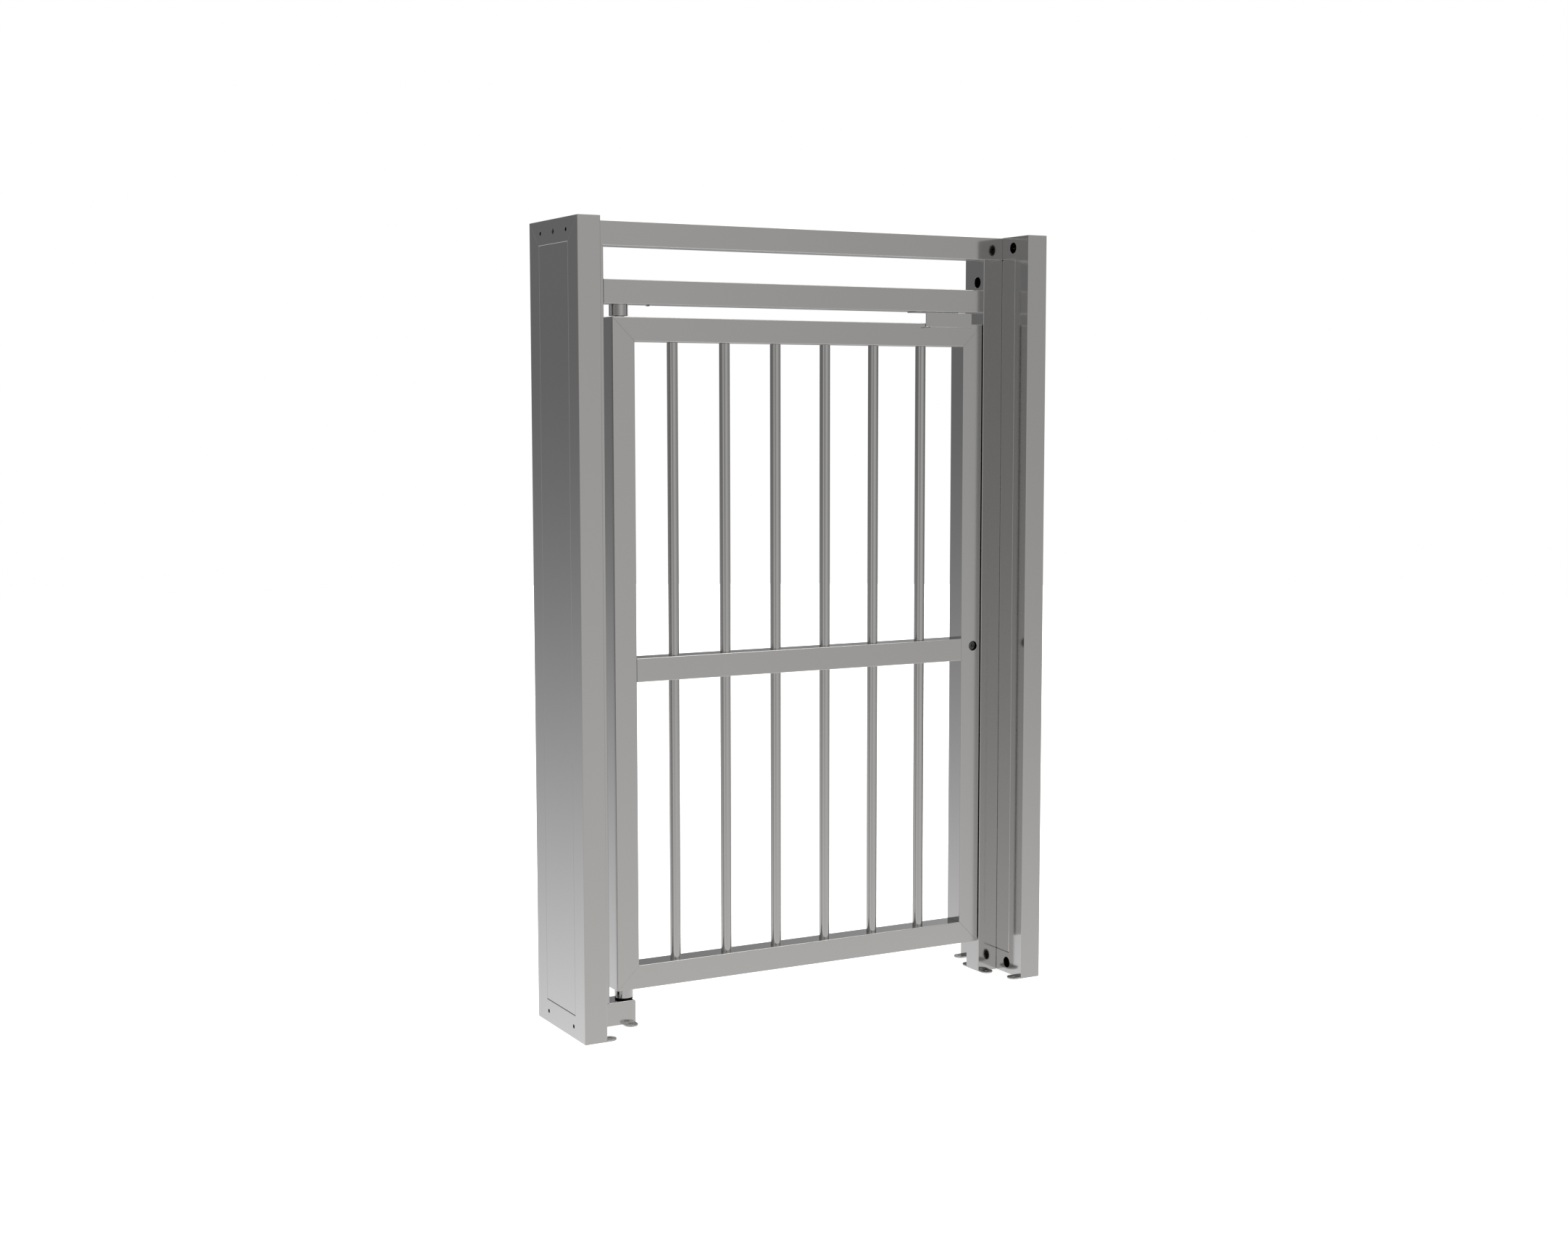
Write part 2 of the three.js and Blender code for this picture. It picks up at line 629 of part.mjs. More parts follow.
// The lock, in axes whose origin is on the key plug's axis in the middle of the leaf's thickness.
function addLock(leaf) {
  const lock = new THREE.Group();
  lock.position.set(leafWidth - halfTube - lockInset, 0, lockHeight);
  leaf.add(lock);

  const caseHigh = lockInset - tubeWall - touchGap;
  const caseWidth = innerSize - touchGap - caseFreeRoom;
  const caseX = caseHigh - caseWidth / 2;
  const caseDepth = boltThickness + 2 * (crankToBolt + crankSheet + touchGap + caseWall);
  const cavity = [caseWidth - 2 * caseWall, caseDepth - 2 * caseWall, caseHeight - 2 * caseWall];
  const windowDepth = boltThickness + 2 * boltClearance;
  const windowHeight = boltHeight + 2 * boltClearance;
  const plugBore = plugRadius + plugClearance;
  const plugHole = toGeometry(rod(plugBore, 0, caseDepth, boreSides)).rotateX(Math.PI / 2);
  const lockCase = block(caseWidth, caseDepth, caseHeight, caseX, 0, boltRise)
    .subtract(block(...cavity, caseX, 0, boltRise))
    .subtract(block(caseWall + cutOverrun, windowDepth, windowHeight, caseHigh - caseWall / 2, 0, boltRise))
    .subtract(toSolid(plugHole));
  addPiece(lock, 'lock_case', lockCase, plainSteel);

  const cylinderFront = -halfTube + cylinderRecess;
  const cylinderBack = -caseDepth / 2 - touchGap;
  const cylinderRadius = lockHoleRadius - cylinderClearance;
  const cylinder = ring(plugBore, cylinderRadius, -cylinderBack, -cylinderFront, boreSides);
  const cylinderMesh = addPiece(lock, 'lock_cylinder', cylinder, darkSteel);
  cylinderMesh.rotation.x = Math.PI / 2;

  // The plug's disc carries a pin that drives the bolt. It starts an eighth of a turn before the top.
  const crankRadius = crankTravel / Math.SQRT2;
  const discRadius = crankRadius + crankPinRadius + crankRim;
  const discFront = -caseDepth / 2 + caseWall + touchGap;
  const discBack = discFront + crankSheet;
  const plugFront = cylinderFront + plugSink;
  const plug = turned([
    [0, -discBack],
    [discRadius, -discBack],
    [discRadius, -discFront],
    [plugRadius, -discFront],
    [plugRadius, -plugFront],
    [0, -plugFront],
  ], boreSides);
  const pinBack = crankPinBite - boltThickness / 2;
  const pin = rod(crankPinRadius, -pinBack, -discBack + crankSheet / 2, screwSides);
  const pinShift = crankTravel / 2;
  const pinSolid = toSolid(toGeometry(pin).translate(-pinShift, pinShift, 0));
  const keywayZ = -plugFront - keywayDepth / 2 + cutOverrun / 2;
  const keyway = block(keywayWidth, keywayHeight, keywayDepth + cutOverrun, 0, 0, keywayZ);
  const plugMesh = addPiece(lock, 'key_plug', plug.add(pinSolid).subtract(keyway), darkSteel);
  plugMesh.rotation.x = Math.PI / 2;

  // The bolt stops short of the jamb. Its slot lets the pin rise over the top of its path.
  const boltFront = lockInset + lockGap - boltTipClearance;
  const boltLength = boltFront - (caseHigh - caseWidth + caseWall + boltTailRoom);
  const boltX = boltFront - boltLength / 2;
  const slotWidth = 2 * (crankPinRadius + slotClearance);
  const slotLow = pinShift - crankPinRadius - slotClearance;
  const slotHigh = crankRadius + crankPinRadius + slotClearance;
  const slotZ = (slotLow + slotHigh) / 2;
  const slot = block(slotWidth, boltThickness + 2 * cutOverrun, slotHigh - slotLow, -pinShift, 0, slotZ);
  const bolt = block(boltLength, boltThickness, boltHeight, boltX, 0, boltRise).subtract(slot);
  addPiece(lock, 'lock_bolt', bolt, plainSteel);
}

function buildLeaf() {
  const leaf = new THREE.Group();
  leaf.position.x = axisX;
  addLeafFrame(leaf);
  addBars(leaf);
  addLeafPivots(leaf);
  addKeeperBracket(leaf);
  addLock(leaf);
  return leaf;
}

function buildGate() {
  const gate = new THREE.Group();
  const leftFrame = sideFrame('left', 'front', 'rear');
  leftFrame.position.set(-halfLength, -halfDepth, 0);
  const rightFrame = sideFrame('right', 'rear', 'front');
  rightFrame.rotation.z = Math.PI;
  rightFrame.position.set(halfLength, halfDepth, 0);
  gate.add(leftFrame, rightFrame);
  addJambs(gate);
  addTopBeam(gate);
  addHeadBeam(gate);
  addFloorBlock(gate);
  addFixedPivots(gate);
  gate.add(buildLeaf());
  return gate;
}

export default buildGate();
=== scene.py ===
"""Full height pass gate in square steel tube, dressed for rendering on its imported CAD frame.

A piece is a surface of two parameters, worked out with numpy, that stands for a CAD node. Only the
key plug and the bolt are copies of the CAD meshes with dressed edges.
All lengths are metres. X runs from the hinge side to the lock side, Y to the back, Z up.
"""

import math

import bmesh
import bpy
import numpy as np
from bpy.props import FloatProperty, FloatVectorProperty, PointerProperty
from mathutils import Matrix, Vector


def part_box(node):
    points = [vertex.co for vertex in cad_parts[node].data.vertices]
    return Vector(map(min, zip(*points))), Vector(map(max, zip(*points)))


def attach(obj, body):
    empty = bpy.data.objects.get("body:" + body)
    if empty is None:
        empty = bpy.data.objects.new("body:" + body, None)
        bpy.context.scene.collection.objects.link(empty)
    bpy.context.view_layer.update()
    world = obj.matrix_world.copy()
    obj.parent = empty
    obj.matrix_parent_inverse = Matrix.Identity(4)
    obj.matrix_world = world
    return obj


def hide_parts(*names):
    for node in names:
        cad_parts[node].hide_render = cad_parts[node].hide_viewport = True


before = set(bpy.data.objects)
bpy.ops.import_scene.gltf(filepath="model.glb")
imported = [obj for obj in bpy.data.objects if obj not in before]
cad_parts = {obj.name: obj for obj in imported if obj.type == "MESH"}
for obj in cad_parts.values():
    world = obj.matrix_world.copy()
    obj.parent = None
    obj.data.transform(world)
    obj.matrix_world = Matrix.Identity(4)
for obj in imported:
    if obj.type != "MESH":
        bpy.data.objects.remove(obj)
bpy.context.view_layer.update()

bl_info = {
    "name": "Full height pass gate",
    "version": (1, 0, 0),
    "blender": (4, 5, 0),
    "location": "3D View > Sidebar > Gate",
    "description": "Builds the finished surfaces, the finishes and the studio of a barred pass gate",
    "category": "Object",
}

# Divisions of the surfaces
FLAT_CELLS = 14
CORNER_CELLS = 6
BLOCK_CELLS = 12
ARC_CELLS = 5
ROUND_SIDES = 64
PIVOT_SIDES = 96
SCREW_SIDES = 48
FLOOR_SIDES = 96
TAB_TIP_POINTS = 33
TAB_ROOT_POINTS = 9
BRACKET_POINTS = 9
DOME_POINTS = 8
BLOCK_END_CELLS = 6

# Strip beside an edge that holds its shading, distance at which points merge, and least radius
HOLD_STRIP = 0.0004
MERGE_DISTANCE = 0.000002
LEAST_RADIUS = 0.00001

# Angles in degrees: edges that stay sharp, that are bevelled, and that are taken for flat
SHARP_ANGLE = 24
COPY_SHARP_ANGLE = 32
BEVEL_ANGLE = 40
BEVEL_SEGMENTS = 2
FLAT_ANGLE = 1

# Sizes that follow the CAD source: walls and sheets
TUBE_WALL = 0.003
END_PLATE = 0.006
BLOCK_WALL = 0.004
BAR_WALL = 0.002
PIVOT_END_WALL = 0.004
PANEL_SHEET = 0.002
BRACKET_SHEET = 0.003

# Sizes that follow the CAD source: radii and places of the holes, and room round what lies in them
CORNER_HOLE_INSET = 0.082
CORNER_HOLE = 0.006
TAB_HOLE = 0.007
ACCESS_HOLE = 0.0175
BEAM_HOLE = 0.008
BEAM_SCREW_HOLE = 0.0044
JAMB_SCREW_HOLE = 0.0054
JAMB_SCREW_HEIGHT = 2.211
PIN_HOLE = 0.013
LOCK_HOLE = 0.0155
PLUG_HOLE = 0.0094
PIVOT_BORE = 0.015
JAMB_WINDOW_ROOM = 0.002
STILE_WINDOW_ROOM = 0.0012
MAGNET_ROOM = 0.001

# How far the finely divided stretch of a tube reaches before and after its cuts
RAIL_STRETCH = 0.0215
BEAM_HOLE_STRETCH = 0.02
JAMB_WINDOW_STRETCH = 0.022
DOME_HOLE_STRETCH = 0.012
MAGNET_STRETCH = 0.085
LOCK_STRETCH = 0.024
TOP_PIN_STRETCH = 0.018
BOTTOM_PIN_STRETCH = 0.0145

# Edges and corners of the finished pieces
SEAM_SET_BACK = 0.0003 / math.sqrt(2)
DRESSED_SEAM = 0.00004
PANEL_SPREAD = 0.0005
PANEL_CORNER = 0.0022
PANEL_LEAST_CORNER = 0.0003
PANEL_INNER_FOLD = 0.001
PANEL_RIM = 0.0002
TAB_FOOT_EDGE = 0.0002
TAB_HOLE_EDGE = 0.00015
BLOCK_CORNER = 0.0018
BLOCK_INNER_CORNER = 0.001
BLOCK_JOINT_EDGE = 0.0003
BLOCK_HOLE_EDGE = 0.0004
BAR_EDGE = 0.0003
BRACKET_EDGE = 0.0003
MAGNET_CORNER = 0.001
MAGNET_EDGE = 0.0006
CYLINDER_EDGE = 0.0007
PLUG_HOLE_EDGE = 0.0004
PLUG_EDGE = 0.0002
BOLT_EDGE = 0.0006

# Socket screws: radii of thread and head, head's height, socket's radius and depth, shoulder's outline
SCREWS = {
    "beam": (0.004, 0.0076, 0.008, 0.0034, 0.0045, [(0.0055, 0.008), (0.0055, 0.0652)]),
    "jamb": (0.005, 0.008, 0.01, 0.0046, 0.0055, []),
}
SOCKET_EDGE = (0.0005, 0.0003)
HEAD_EDGE = 0.0007
SCREW_TIP = 0.001

# Domed screw: height of the dome, radii of shank, mouth and socket, depth and rim of the socket
DOME = (0.004, 0.005, 0.0034, 0.0027, 0.0028, 0.0003)

# Texture of the finishes: noise cells a metre across and along the streaks, and those of the cloud
STREAK_ACROSS = 1400.0
STREAK_ALONG = 9.0
CLOUD = (3.1, 3.1, 1.7)
STREAK_DETAIL = 3
CLOUD_DETAIL = 2
NOISE_ROUGHNESS = 0.6
NOISE_RANGE = (0.3, 0.7)
ROUGHNESS_SPREAD = 0.08
BUMP_STRENGTH = 0.25
INSIDE_DULLNESS = 0.4

# Finishes without a grain: colour, roughness, metallic, cloud, streaks, depth of the texture, specular
FINISHES = {
    "machined_steel": ("plain_color", 0.24, 1, 0.04, 0.02, 0.00001, 0.5),
    # The socket screws' dark colour is painted shade from inside the tubes, where they sit.
    "screw_steel_painted_dark": ("screw_painted_shade_color", 0.45, 1, 0.12, 0.05, 0.00002, 0.5),
    "darkened_lock_steel": ("lock_color", 0.2, 1, 0.08, 0.03, 0.000002, 0.5),
    "black_moulded_plastic": ("plastic_color", 0.6, 0, 0.2, 0.1, 0.00003, 0.1),
    "satin_brass": ("brass_color", 0.3, 1, 0.08, 0.03, 0.00001, 0.5),
}

# Finish of the floor: roughness, metallic, cloud, streaks, depth of the texture
FLOOR_FINISH = (0.85, 0, 0.01, 0.005, 0.00002)

# How far the floor lies below the gate's feet
FLOOR_DROP = 0.0002

# Light: the most that the ground counts for, and the least level run of a direction
GROUND_MOST = 1.25
LEAST_RUN = 0.001

# Width of the camera's sensor in millimetres
SENSOR_WIDTH = 36

# Unit vectors of the six directions
UNIT = {
    "+X": (1, 0, 0), "-X": (-1, 0, 0), "+Y": (0, 1, 0),
    "-Y": (0, -1, 0), "+Z": (0, 0, 1), "-Z": (0, 0, -1),
}


class GateShape(bpy.types.PropertyGroup):
    """Small sizes of the finished surfaces."""

    tube_corner: FloatProperty(
        name="Tube corner", description="Outside corner radius of the square tube",
        default=0.002, min=0.0005, max=0.008, unit="LENGTH", precision=4)
    tube_inner_corner: FloatProperty(
        name="Inner corner", description="Inside corner radius of the square tube",
        default=0.001, min=0.0002, max=0.005, unit="LENGTH", precision=4)
    end_chamfer: FloatProperty(
        name="Joint edge", description="Dressed edge where two tubes meet",
        default=0.0001, min=0.00002, max=0.002, unit="LENGTH", precision=5)
    hole_chamfer: FloatProperty(
        name="Hole edge", description="Chamfer round a cut hole",
        default=0.00012, min=0.00005, max=0.001, unit="LENGTH", precision=5)
    fold_radius: FloatProperty(
        name="Panel fold", description="Radius of the folded panel edges",
        default=0.0022, min=0.0003, max=0.005, unit="LENGTH", precision=4)
    tab_edge: FloatProperty(
        name="Tab edge", description="Rounded edge of the foot tabs",
        default=0.0004, min=0.0002, max=0.002, unit="LENGTH", precision=4)
    block_end: FloatProperty(
        name="Block end", description="Rounding of the floor block's free upper edge",
        default=0.006, min=0.001, max=0.012, unit="LENGTH", precision=4)
    bend_radius: FloatProperty(
        name="Bracket bend", description="Outside bend radius of the keeper bracket",
        default=0.0045, min=0.0032, max=0.008, unit="LENGTH", precision=4)
    pivot_chamfer: FloatProperty(
        name="Pivot edge", description="Chamfer of the turned pivot pieces",
        default=0.0005, min=0.0002, max=0.003, unit="LENGTH", precision=4)


class GateFinish(bpy.types.PropertyGroup):
    """Colours and surface of the finishes."""

    tube_color: FloatVectorProperty(
        name="Tube", description="Steel of the tubes", subtype="COLOR", size=3, min=0, max=1,
        default=(0.693, 0.69, 0.685))
    tube_roughness: FloatProperty(
        name="Tube roughness", description="Mean roughness of the polished tubes",
        default=0.115, min=0, max=1, subtype="FACTOR")
    sheet_color: FloatVectorProperty(
        name="Sheet", description="Steel of the panels and the bracket", subtype="COLOR", size=3,
        min=0, max=1, default=(0.693, 0.69, 0.686))
    sheet_roughness: FloatProperty(
        name="Sheet roughness", description="Mean roughness of the sheet",
        default=0.115, min=0, max=1, subtype="FACTOR")
    # The tubes' inside is dull steel, and its near black colour is painted shade.
    inside_shade_color: FloatVectorProperty(
        name="Tube inside", description="Unpolished steel inside the tubes", subtype="COLOR", size=3,
        min=0, max=1, default=(0.05, 0.05, 0.05))
    bar_color: FloatVectorProperty(
        name="Bars", description="Polished steel of the bars and pivots", subtype="COLOR", size=3,
        min=0, max=1, default=(0.692, 0.69, 0.686))
    bar_roughness: FloatProperty(
        name="Bar roughness", description="Mean roughness of the polished steel",
        default=0.03, min=0, max=1, subtype="FACTOR")
    plain_color: FloatVectorProperty(
        name="Plain steel", description="Pins, magnet, bolt, lock case and domed screw",
        subtype="COLOR", size=3, min=0, max=1, default=(0.5, 0.5, 0.51))
    # The socket screws' dark colour is painted shade from inside the tubes, where they sit.
    screw_painted_shade_color: FloatVectorProperty(
        name="Dark steel", description="Socket screws", subtype="COLOR", size=3,
        min=0, max=1, default=(0.14, 0.14, 0.143))
    lock_color: FloatVectorProperty(
        name="Lock", description="Lock cylinder and key plug", subtype="COLOR", size=3,
        min=0, max=1, default=(0.16, 0.16, 0.163))
    plastic_color: FloatVectorProperty(
        name="Plastic", description="Thrust washer", subtype="COLOR", size=3, min=0, max=1,
        default=(0.004, 0.004, 0.004))
    brass_color: FloatVectorProperty(
        name="Brass", description="Bushes of the pivots", subtype="COLOR", size=3, min=0, max=1,
        default=(0.6, 0.5, 0.27))


class GateStage(bpy.types.PropertyGroup):
    """Floor, light and camera."""

    floor_radius: FloatProperty(
        name="Floor", description="Radius of the pale floor",
        default=16.0, min=3, max=100, unit="LENGTH")
    floor_color: FloatVectorProperty(
        name="Floor colour", description="Pale floor", subtype="COLOR", size=3, min=0, max=1,
        default=(0.86, 0.86, 0.86))
    lamp_strength: FloatProperty(
        name="Overhead light", description="Strength of the wide soft light above the gate",
        default=1.3, min=0, max=20)
    lamp_spread: FloatProperty(
        name="Light spread", description="Angle that the soft light covers in the sky",
        default=math.radians(80), min=0.1, max=math.pi, subtype="ANGLE")
    studio_level: FloatProperty(
        name="Studio level", description="Brightness of the studio walls between the soft lights",
        default=0.1635, min=0, max=2)
    front_light: FloatVectorProperty(
        name="Front light", description="Bearing in degrees from +X towards +Y, gain and focus", size=3,
        default=(-77.5, 0.304, 4.4))
    left_light: FloatVectorProperty(
        name="Left light", description="Bearing in degrees from +X towards +Y, gain and focus", size=3,
        default=(-146.6, 0.334, 48))
    right_light: FloatVectorProperty(
        name="Right light", description="Bearing in degrees from +X towards +Y, gain and focus", size=3,
        default=(-10.9, 0.153, 13))
    rim_light: FloatVectorProperty(
        name="Rim light", size=4,
        description="Bearing and height in degrees, gain and focus of the light on upper edges",
        default=(5, 52, 2.4, 16))
    back_light: FloatVectorProperty(
        name="Back light", size=4,
        description="Bearing and height in degrees, gain and focus of the light on flat tops",
        default=(40, 15, 0.45, 20))
    ground_level: FloatProperty(
        name="Ground level", description="Mean brightness of the ground as polished steel shows it",
        default=0.642, min=0, max=2)
    ground_rise: FloatProperty(
        name="Ground rise", description="How much brighter the ground is behind than to the side",
        default=0.08, min=0, max=2)
    ground_start: FloatProperty(
        name="Ground start", description="Height of the direction where the ground begins to show",
        default=0.048, min=-1, max=1)
    ground_depth: FloatProperty(
        name="Ground depth", description="How far below its start the ground shows alone",
        default=0.305, min=0.01, max=1)
    front_tint: FloatVectorProperty(
        name="Front tint", description="Colour of the light from before the gate", subtype="COLOR", size=3,
        min=0, max=2, default=(1.011, 1, 0.978))
    back_tint: FloatVectorProperty(
        name="Back tint", description="Colour of the light from behind the gate", subtype="COLOR", size=3,
        min=0, max=2, default=(1.01, 1, 1.0135))
    floor_glow: FloatProperty(
        name="Floor glow", description="Light that the floor gives off, which thins the shadows on it",
        default=0.55, min=0, max=2)
    camera_place: FloatVectorProperty(
        name="Camera", description="Place of the camera", subtype="XYZ", size=3, unit="LENGTH",
        default=(-3.18709, -5.73476, 1.8107))
    camera_yaw: FloatProperty(
        name="Yaw", description="Turn of the view from +Y towards +X",
        default=0.501118, min=-math.pi, max=math.pi, subtype="ANGLE")
    camera_pitch: FloatProperty(
        name="Pitch", description="Tilt of the view, negative is down",
        default=-0.09657, min=-1.5, max=1.5, subtype="ANGLE")
    camera_roll: FloatProperty(
        name="Roll", description="Turn of the camera about its own view line",
        default=-0.000741, min=-1, max=1, subtype="ANGLE")
    camera_lens: FloatProperty(
        name="Lens", description="Focal length in millimetres on a 36 mm wide sensor",
        default=49.471, min=10, max=200)


def box(node):
    """Lowest and highest corner of a CAD node."""
    low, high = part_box(node)
    return np.array(list(low)), np.array(list(high))


def middle(node):
    """Middle of a CAD node's box."""
    return np.mean(box(node), axis=0)


def seat(node, along):
    """Middle of the end of a CAD node's box where a direction starts, its length and half its width."""
    low, high = box(node)
    axis = "XYZ".index(along[1])
    origin = (low + high) / 2
    origin[axis] = low[axis] if along[0] == "+" else high[axis]
    return origin, high[axis] - low[axis], np.delete(high - low, axis)[0] / 2


def placed(points, origin, across, along):
    """Points of a piece's own frame: origin + across * x + along * y + (across x along) * z."""
    first, second = np.array(UNIT[across], float), np.array(UNIT[along], float)
    return np.asarray(origin) + points @ np.array([first, second, np.cross(first, second)])


def set_out(patches, origin, across, along):
    """Grids moved from a piece's own frame to its place."""
    return [(placed(points, origin, across, along), *rest) for points, *rest in patches]


def lattice(rows, columns, wrap_rows, wrap_columns):
    """Corners of the quads of a grid: cell (i, j) joins rows i and i + 1, columns j and j + 1."""
    i = np.arange(rows if wrap_rows else rows - 1)
    j = np.arange(columns if wrap_columns else columns - 1)
    i, j = (a.ravel() for a in np.meshgrid(i, j, indexing="ij"))
    i2, j2 = (i + 1) % rows, (j + 1) % columns
    return np.stack([i * columns + j, i * columns + j2, i2 * columns + j2, i2 * columns + j], axis=1)


def settle(mesh, sharp, flatten=False):
    """Merges doubled points, turns the faces outwards and smooths the edges under an angle."""
    shell = bmesh.new()
    shell.from_mesh(mesh)
    bmesh.ops.remove_doubles(shell, verts=shell.verts, dist=MERGE_DISTANCE)
    if flatten:
        bmesh.ops.dissolve_limit(shell, angle_limit=math.radians(FLAT_ANGLE),
                                 verts=shell.verts, edges=shell.edges)
    bmesh.ops.recalc_face_normals(shell, faces=shell.faces)
    shell.to_mesh(mesh)
    shell.free()
    mesh.shade_smooth()
    mesh.set_sharp_from_angle(angle=math.radians(sharp))
    return mesh


def make_mesh(name, patches):
    """One closed mesh from grids (points, wrap_rows, wrap_columns, cells left out or None)."""
    corners, faces, base = [], [], 0
    for points, wrap_rows, wrap_columns, left_out in patches:
        rows, columns = points.shape[:2]
        quads = lattice(rows, columns, wrap_rows, wrap_columns)
        if left_out is not None:
            quads = quads[~left_out[:rows if wrap_rows else rows - 1].ravel()]
        corners.append(points.reshape(-1, 3))
        faces.append(quads + base)
        base += rows * columns
    mesh = bpy.data.meshes.new(name)
    mesh.from_pydata(np.concatenate(corners), [], np.concatenate(faces))
    return settle(mesh, SHARP_ANGLE)


def merged_copy(node):
    """A copy of a CAD node's mesh whose doubled points are merged."""
    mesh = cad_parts[node].data.copy()
    mesh.name = "finished_" + node
    return settle(mesh, COPY_SHARP_ANGLE, flatten=True)


def mark_painted_shade(mesh, chosen):
    """Sets the attribute "inside" to 1 at the points for which chosen(points) holds, else to 0. The finish
    paints shade where it is 1.
    """
    points = np.empty(3 * len(mesh.vertices))
    mesh.vertices.foreach_get("co", points)
    layer = mesh.attributes.new("inside", "FLOAT", "POINT")
    layer.data.foreach_set("value", chosen(points.reshape(-1, 3)).astype(np.float32))


def soften(piece, width):
    """A narrow bevel on the sharp edges of a piece."""
    bevel = piece.modifiers.new("dressed_edges", "BEVEL")
    bevel.width = width
    bevel.segments = BEVEL_SEGMENTS
    bevel.limit_method = "ANGLE"
    bevel.angle_limit = math.radians(BEVEL_ANGLE)
    bevel.harden_normals = True


def add_piece(mesh, body, slot, material, *nodes):
    """Links a finished mesh as a piece that rides on a body and stands for CAD nodes."""
    piece = bpy.data.objects.new(mesh.name, mesh)
    bpy.context.scene.collection.objects.link(piece)
    mesh.materials.clear()
    mesh.materials.append(material)
    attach(piece, body)
    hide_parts(*nodes)
    return piece


def add_tube(node, body, across, along, **sizes):
    """Adds a square tube with its grain along its length: see tube_mesh."""
    mesh = tube_mesh(node, across, along, **sizes)
    add_piece(mesh, body, "brushed_tube", tube_finish(along[1]), node)


def add_turned(node, body, slot, material, profile, along="+Z", **turning):
    """Adds a turned piece on the middle line of its CAD node: see revolved."""
    patches = revolved(profile, seat(node, along)[0], along, **turning)
    add_piece(make_mesh("finished_" + node, patches), body, slot, material, node)


def rounded_rectangle(half_x, half_z, radius):
    """Section points (x, z): four flats with a narrow strip at each end, joined by quarter circles."""
    radius = max(radius, LEAST_RADIUS)
    run = np.concatenate([[-1.0], np.linspace(-1, 1, FLAT_CELLS - 1), [1.0]])
    turn = np.linspace(0, math.pi / 2, CORNER_CELLS + 1)[1:-1]
    points = []
    for k in range(4):
        half, out = ((half_z, half_x), (half_x, half_z))[k % 2]
        straight = half - radius
        flat = run * (straight - min(HOLD_STRIP, straight / 4))
        flat[0], flat[-1] = -straight, straight
        side = np.stack([np.full_like(flat, out), flat], axis=1)
        arc = np.stack([out - radius + radius * np.cos(turn), straight + radius * np.sin(turn)], axis=1)
        angle = k * math.pi / 2
        cosine, sine = round(math.cos(angle)), round(math.sin(angle))
        points.append(np.concatenate([side, arc]) @ np.array([[cosine, sine], [-sine, cosine]]))
    return np.concatenate(points)


def circle(outline, centre, radius):
    """A round outline whose points lie at the same angles round a centre as those of another one."""
    reach = outline - centre
    angle = np.arctan2(reach[:, 1], reach[:, 0])
    return centre + radius * np.stack([np.cos(angle), np.sin(angle)], axis=1)


def section_ring(section, place, slope=0):
    """A section laid across a tube: y = place + slope * x, so that slope 1 is a 45 degree mitre."""
    x, z = section[:, 0], section[:, 1]
    return np.stack([x, place + slope * x, z], axis=1)


def block_loop(grid):
    """Points round the edge of a rectangular block of a grid, and their shares from -1 to 1."""
    rows, columns = grid.shape[:2]
    low, right = np.arange(columns - 1), np.arange(rows - 1)
    i = np.concatenate([0 * low, right, 0 * low + rows - 1, rows - 1 - right])
    j = np.concatenate([low, 0 * right + columns - 1, columns - 1 - low, 0 * right])
    shares = np.stack([2 * j / (columns - 1) - 1, 2 * i / (rows - 1) - 1], axis=1)
    return grid[i, j], shares


def wall_cut(outer, inner, half, inner_half, cut, chamfer):
    """A hole through one wall: rings from the block's edge outside, over the bore, to the edge inside.

    A round hole's ring is centre + radius * (cos, sin) at the angle of each edge point, a square
    one's is centre + half size * share.
    """
    loop, shares = block_loop(outer)
    inner_loop, _ = block_loop(inner)
    flip = 1 if cut["side"] in (0, 1) else -1
    fixed, cross = (0, 2) if cut["side"] in (0, 2) else (2, 0)
    centre = np.array([cut["cross"], cut["place"]])

    def ring(grow, depth):
        if "radius" in cut:
            flat = circle(loop[:, [cross, 1]], centre, cut["radius"] + grow)
        else:
            turned = shares.copy()
            turned[:, 0] *= np.sign(loop[:, cross] @ shares[:, 0])
            flat = centre + turned * (np.array([cut["width"], cut["length"]]) / 2 + grow)
        points = np.zeros((len(loop), 3))
        points[:, fixed] = flip * (half[fixed // 2] - depth)
        points[:, cross], points[:, 1] = flat[:, 0], flat[:, 1]
        return points

    wall = half[fixed // 2] - inner_half[fixed // 2]
    return np.stack([loop, ring(chamfer, 0), ring(0, chamfer), ring(0, wall - chamfer),
                     ring(chamfer, wall), inner_loop])


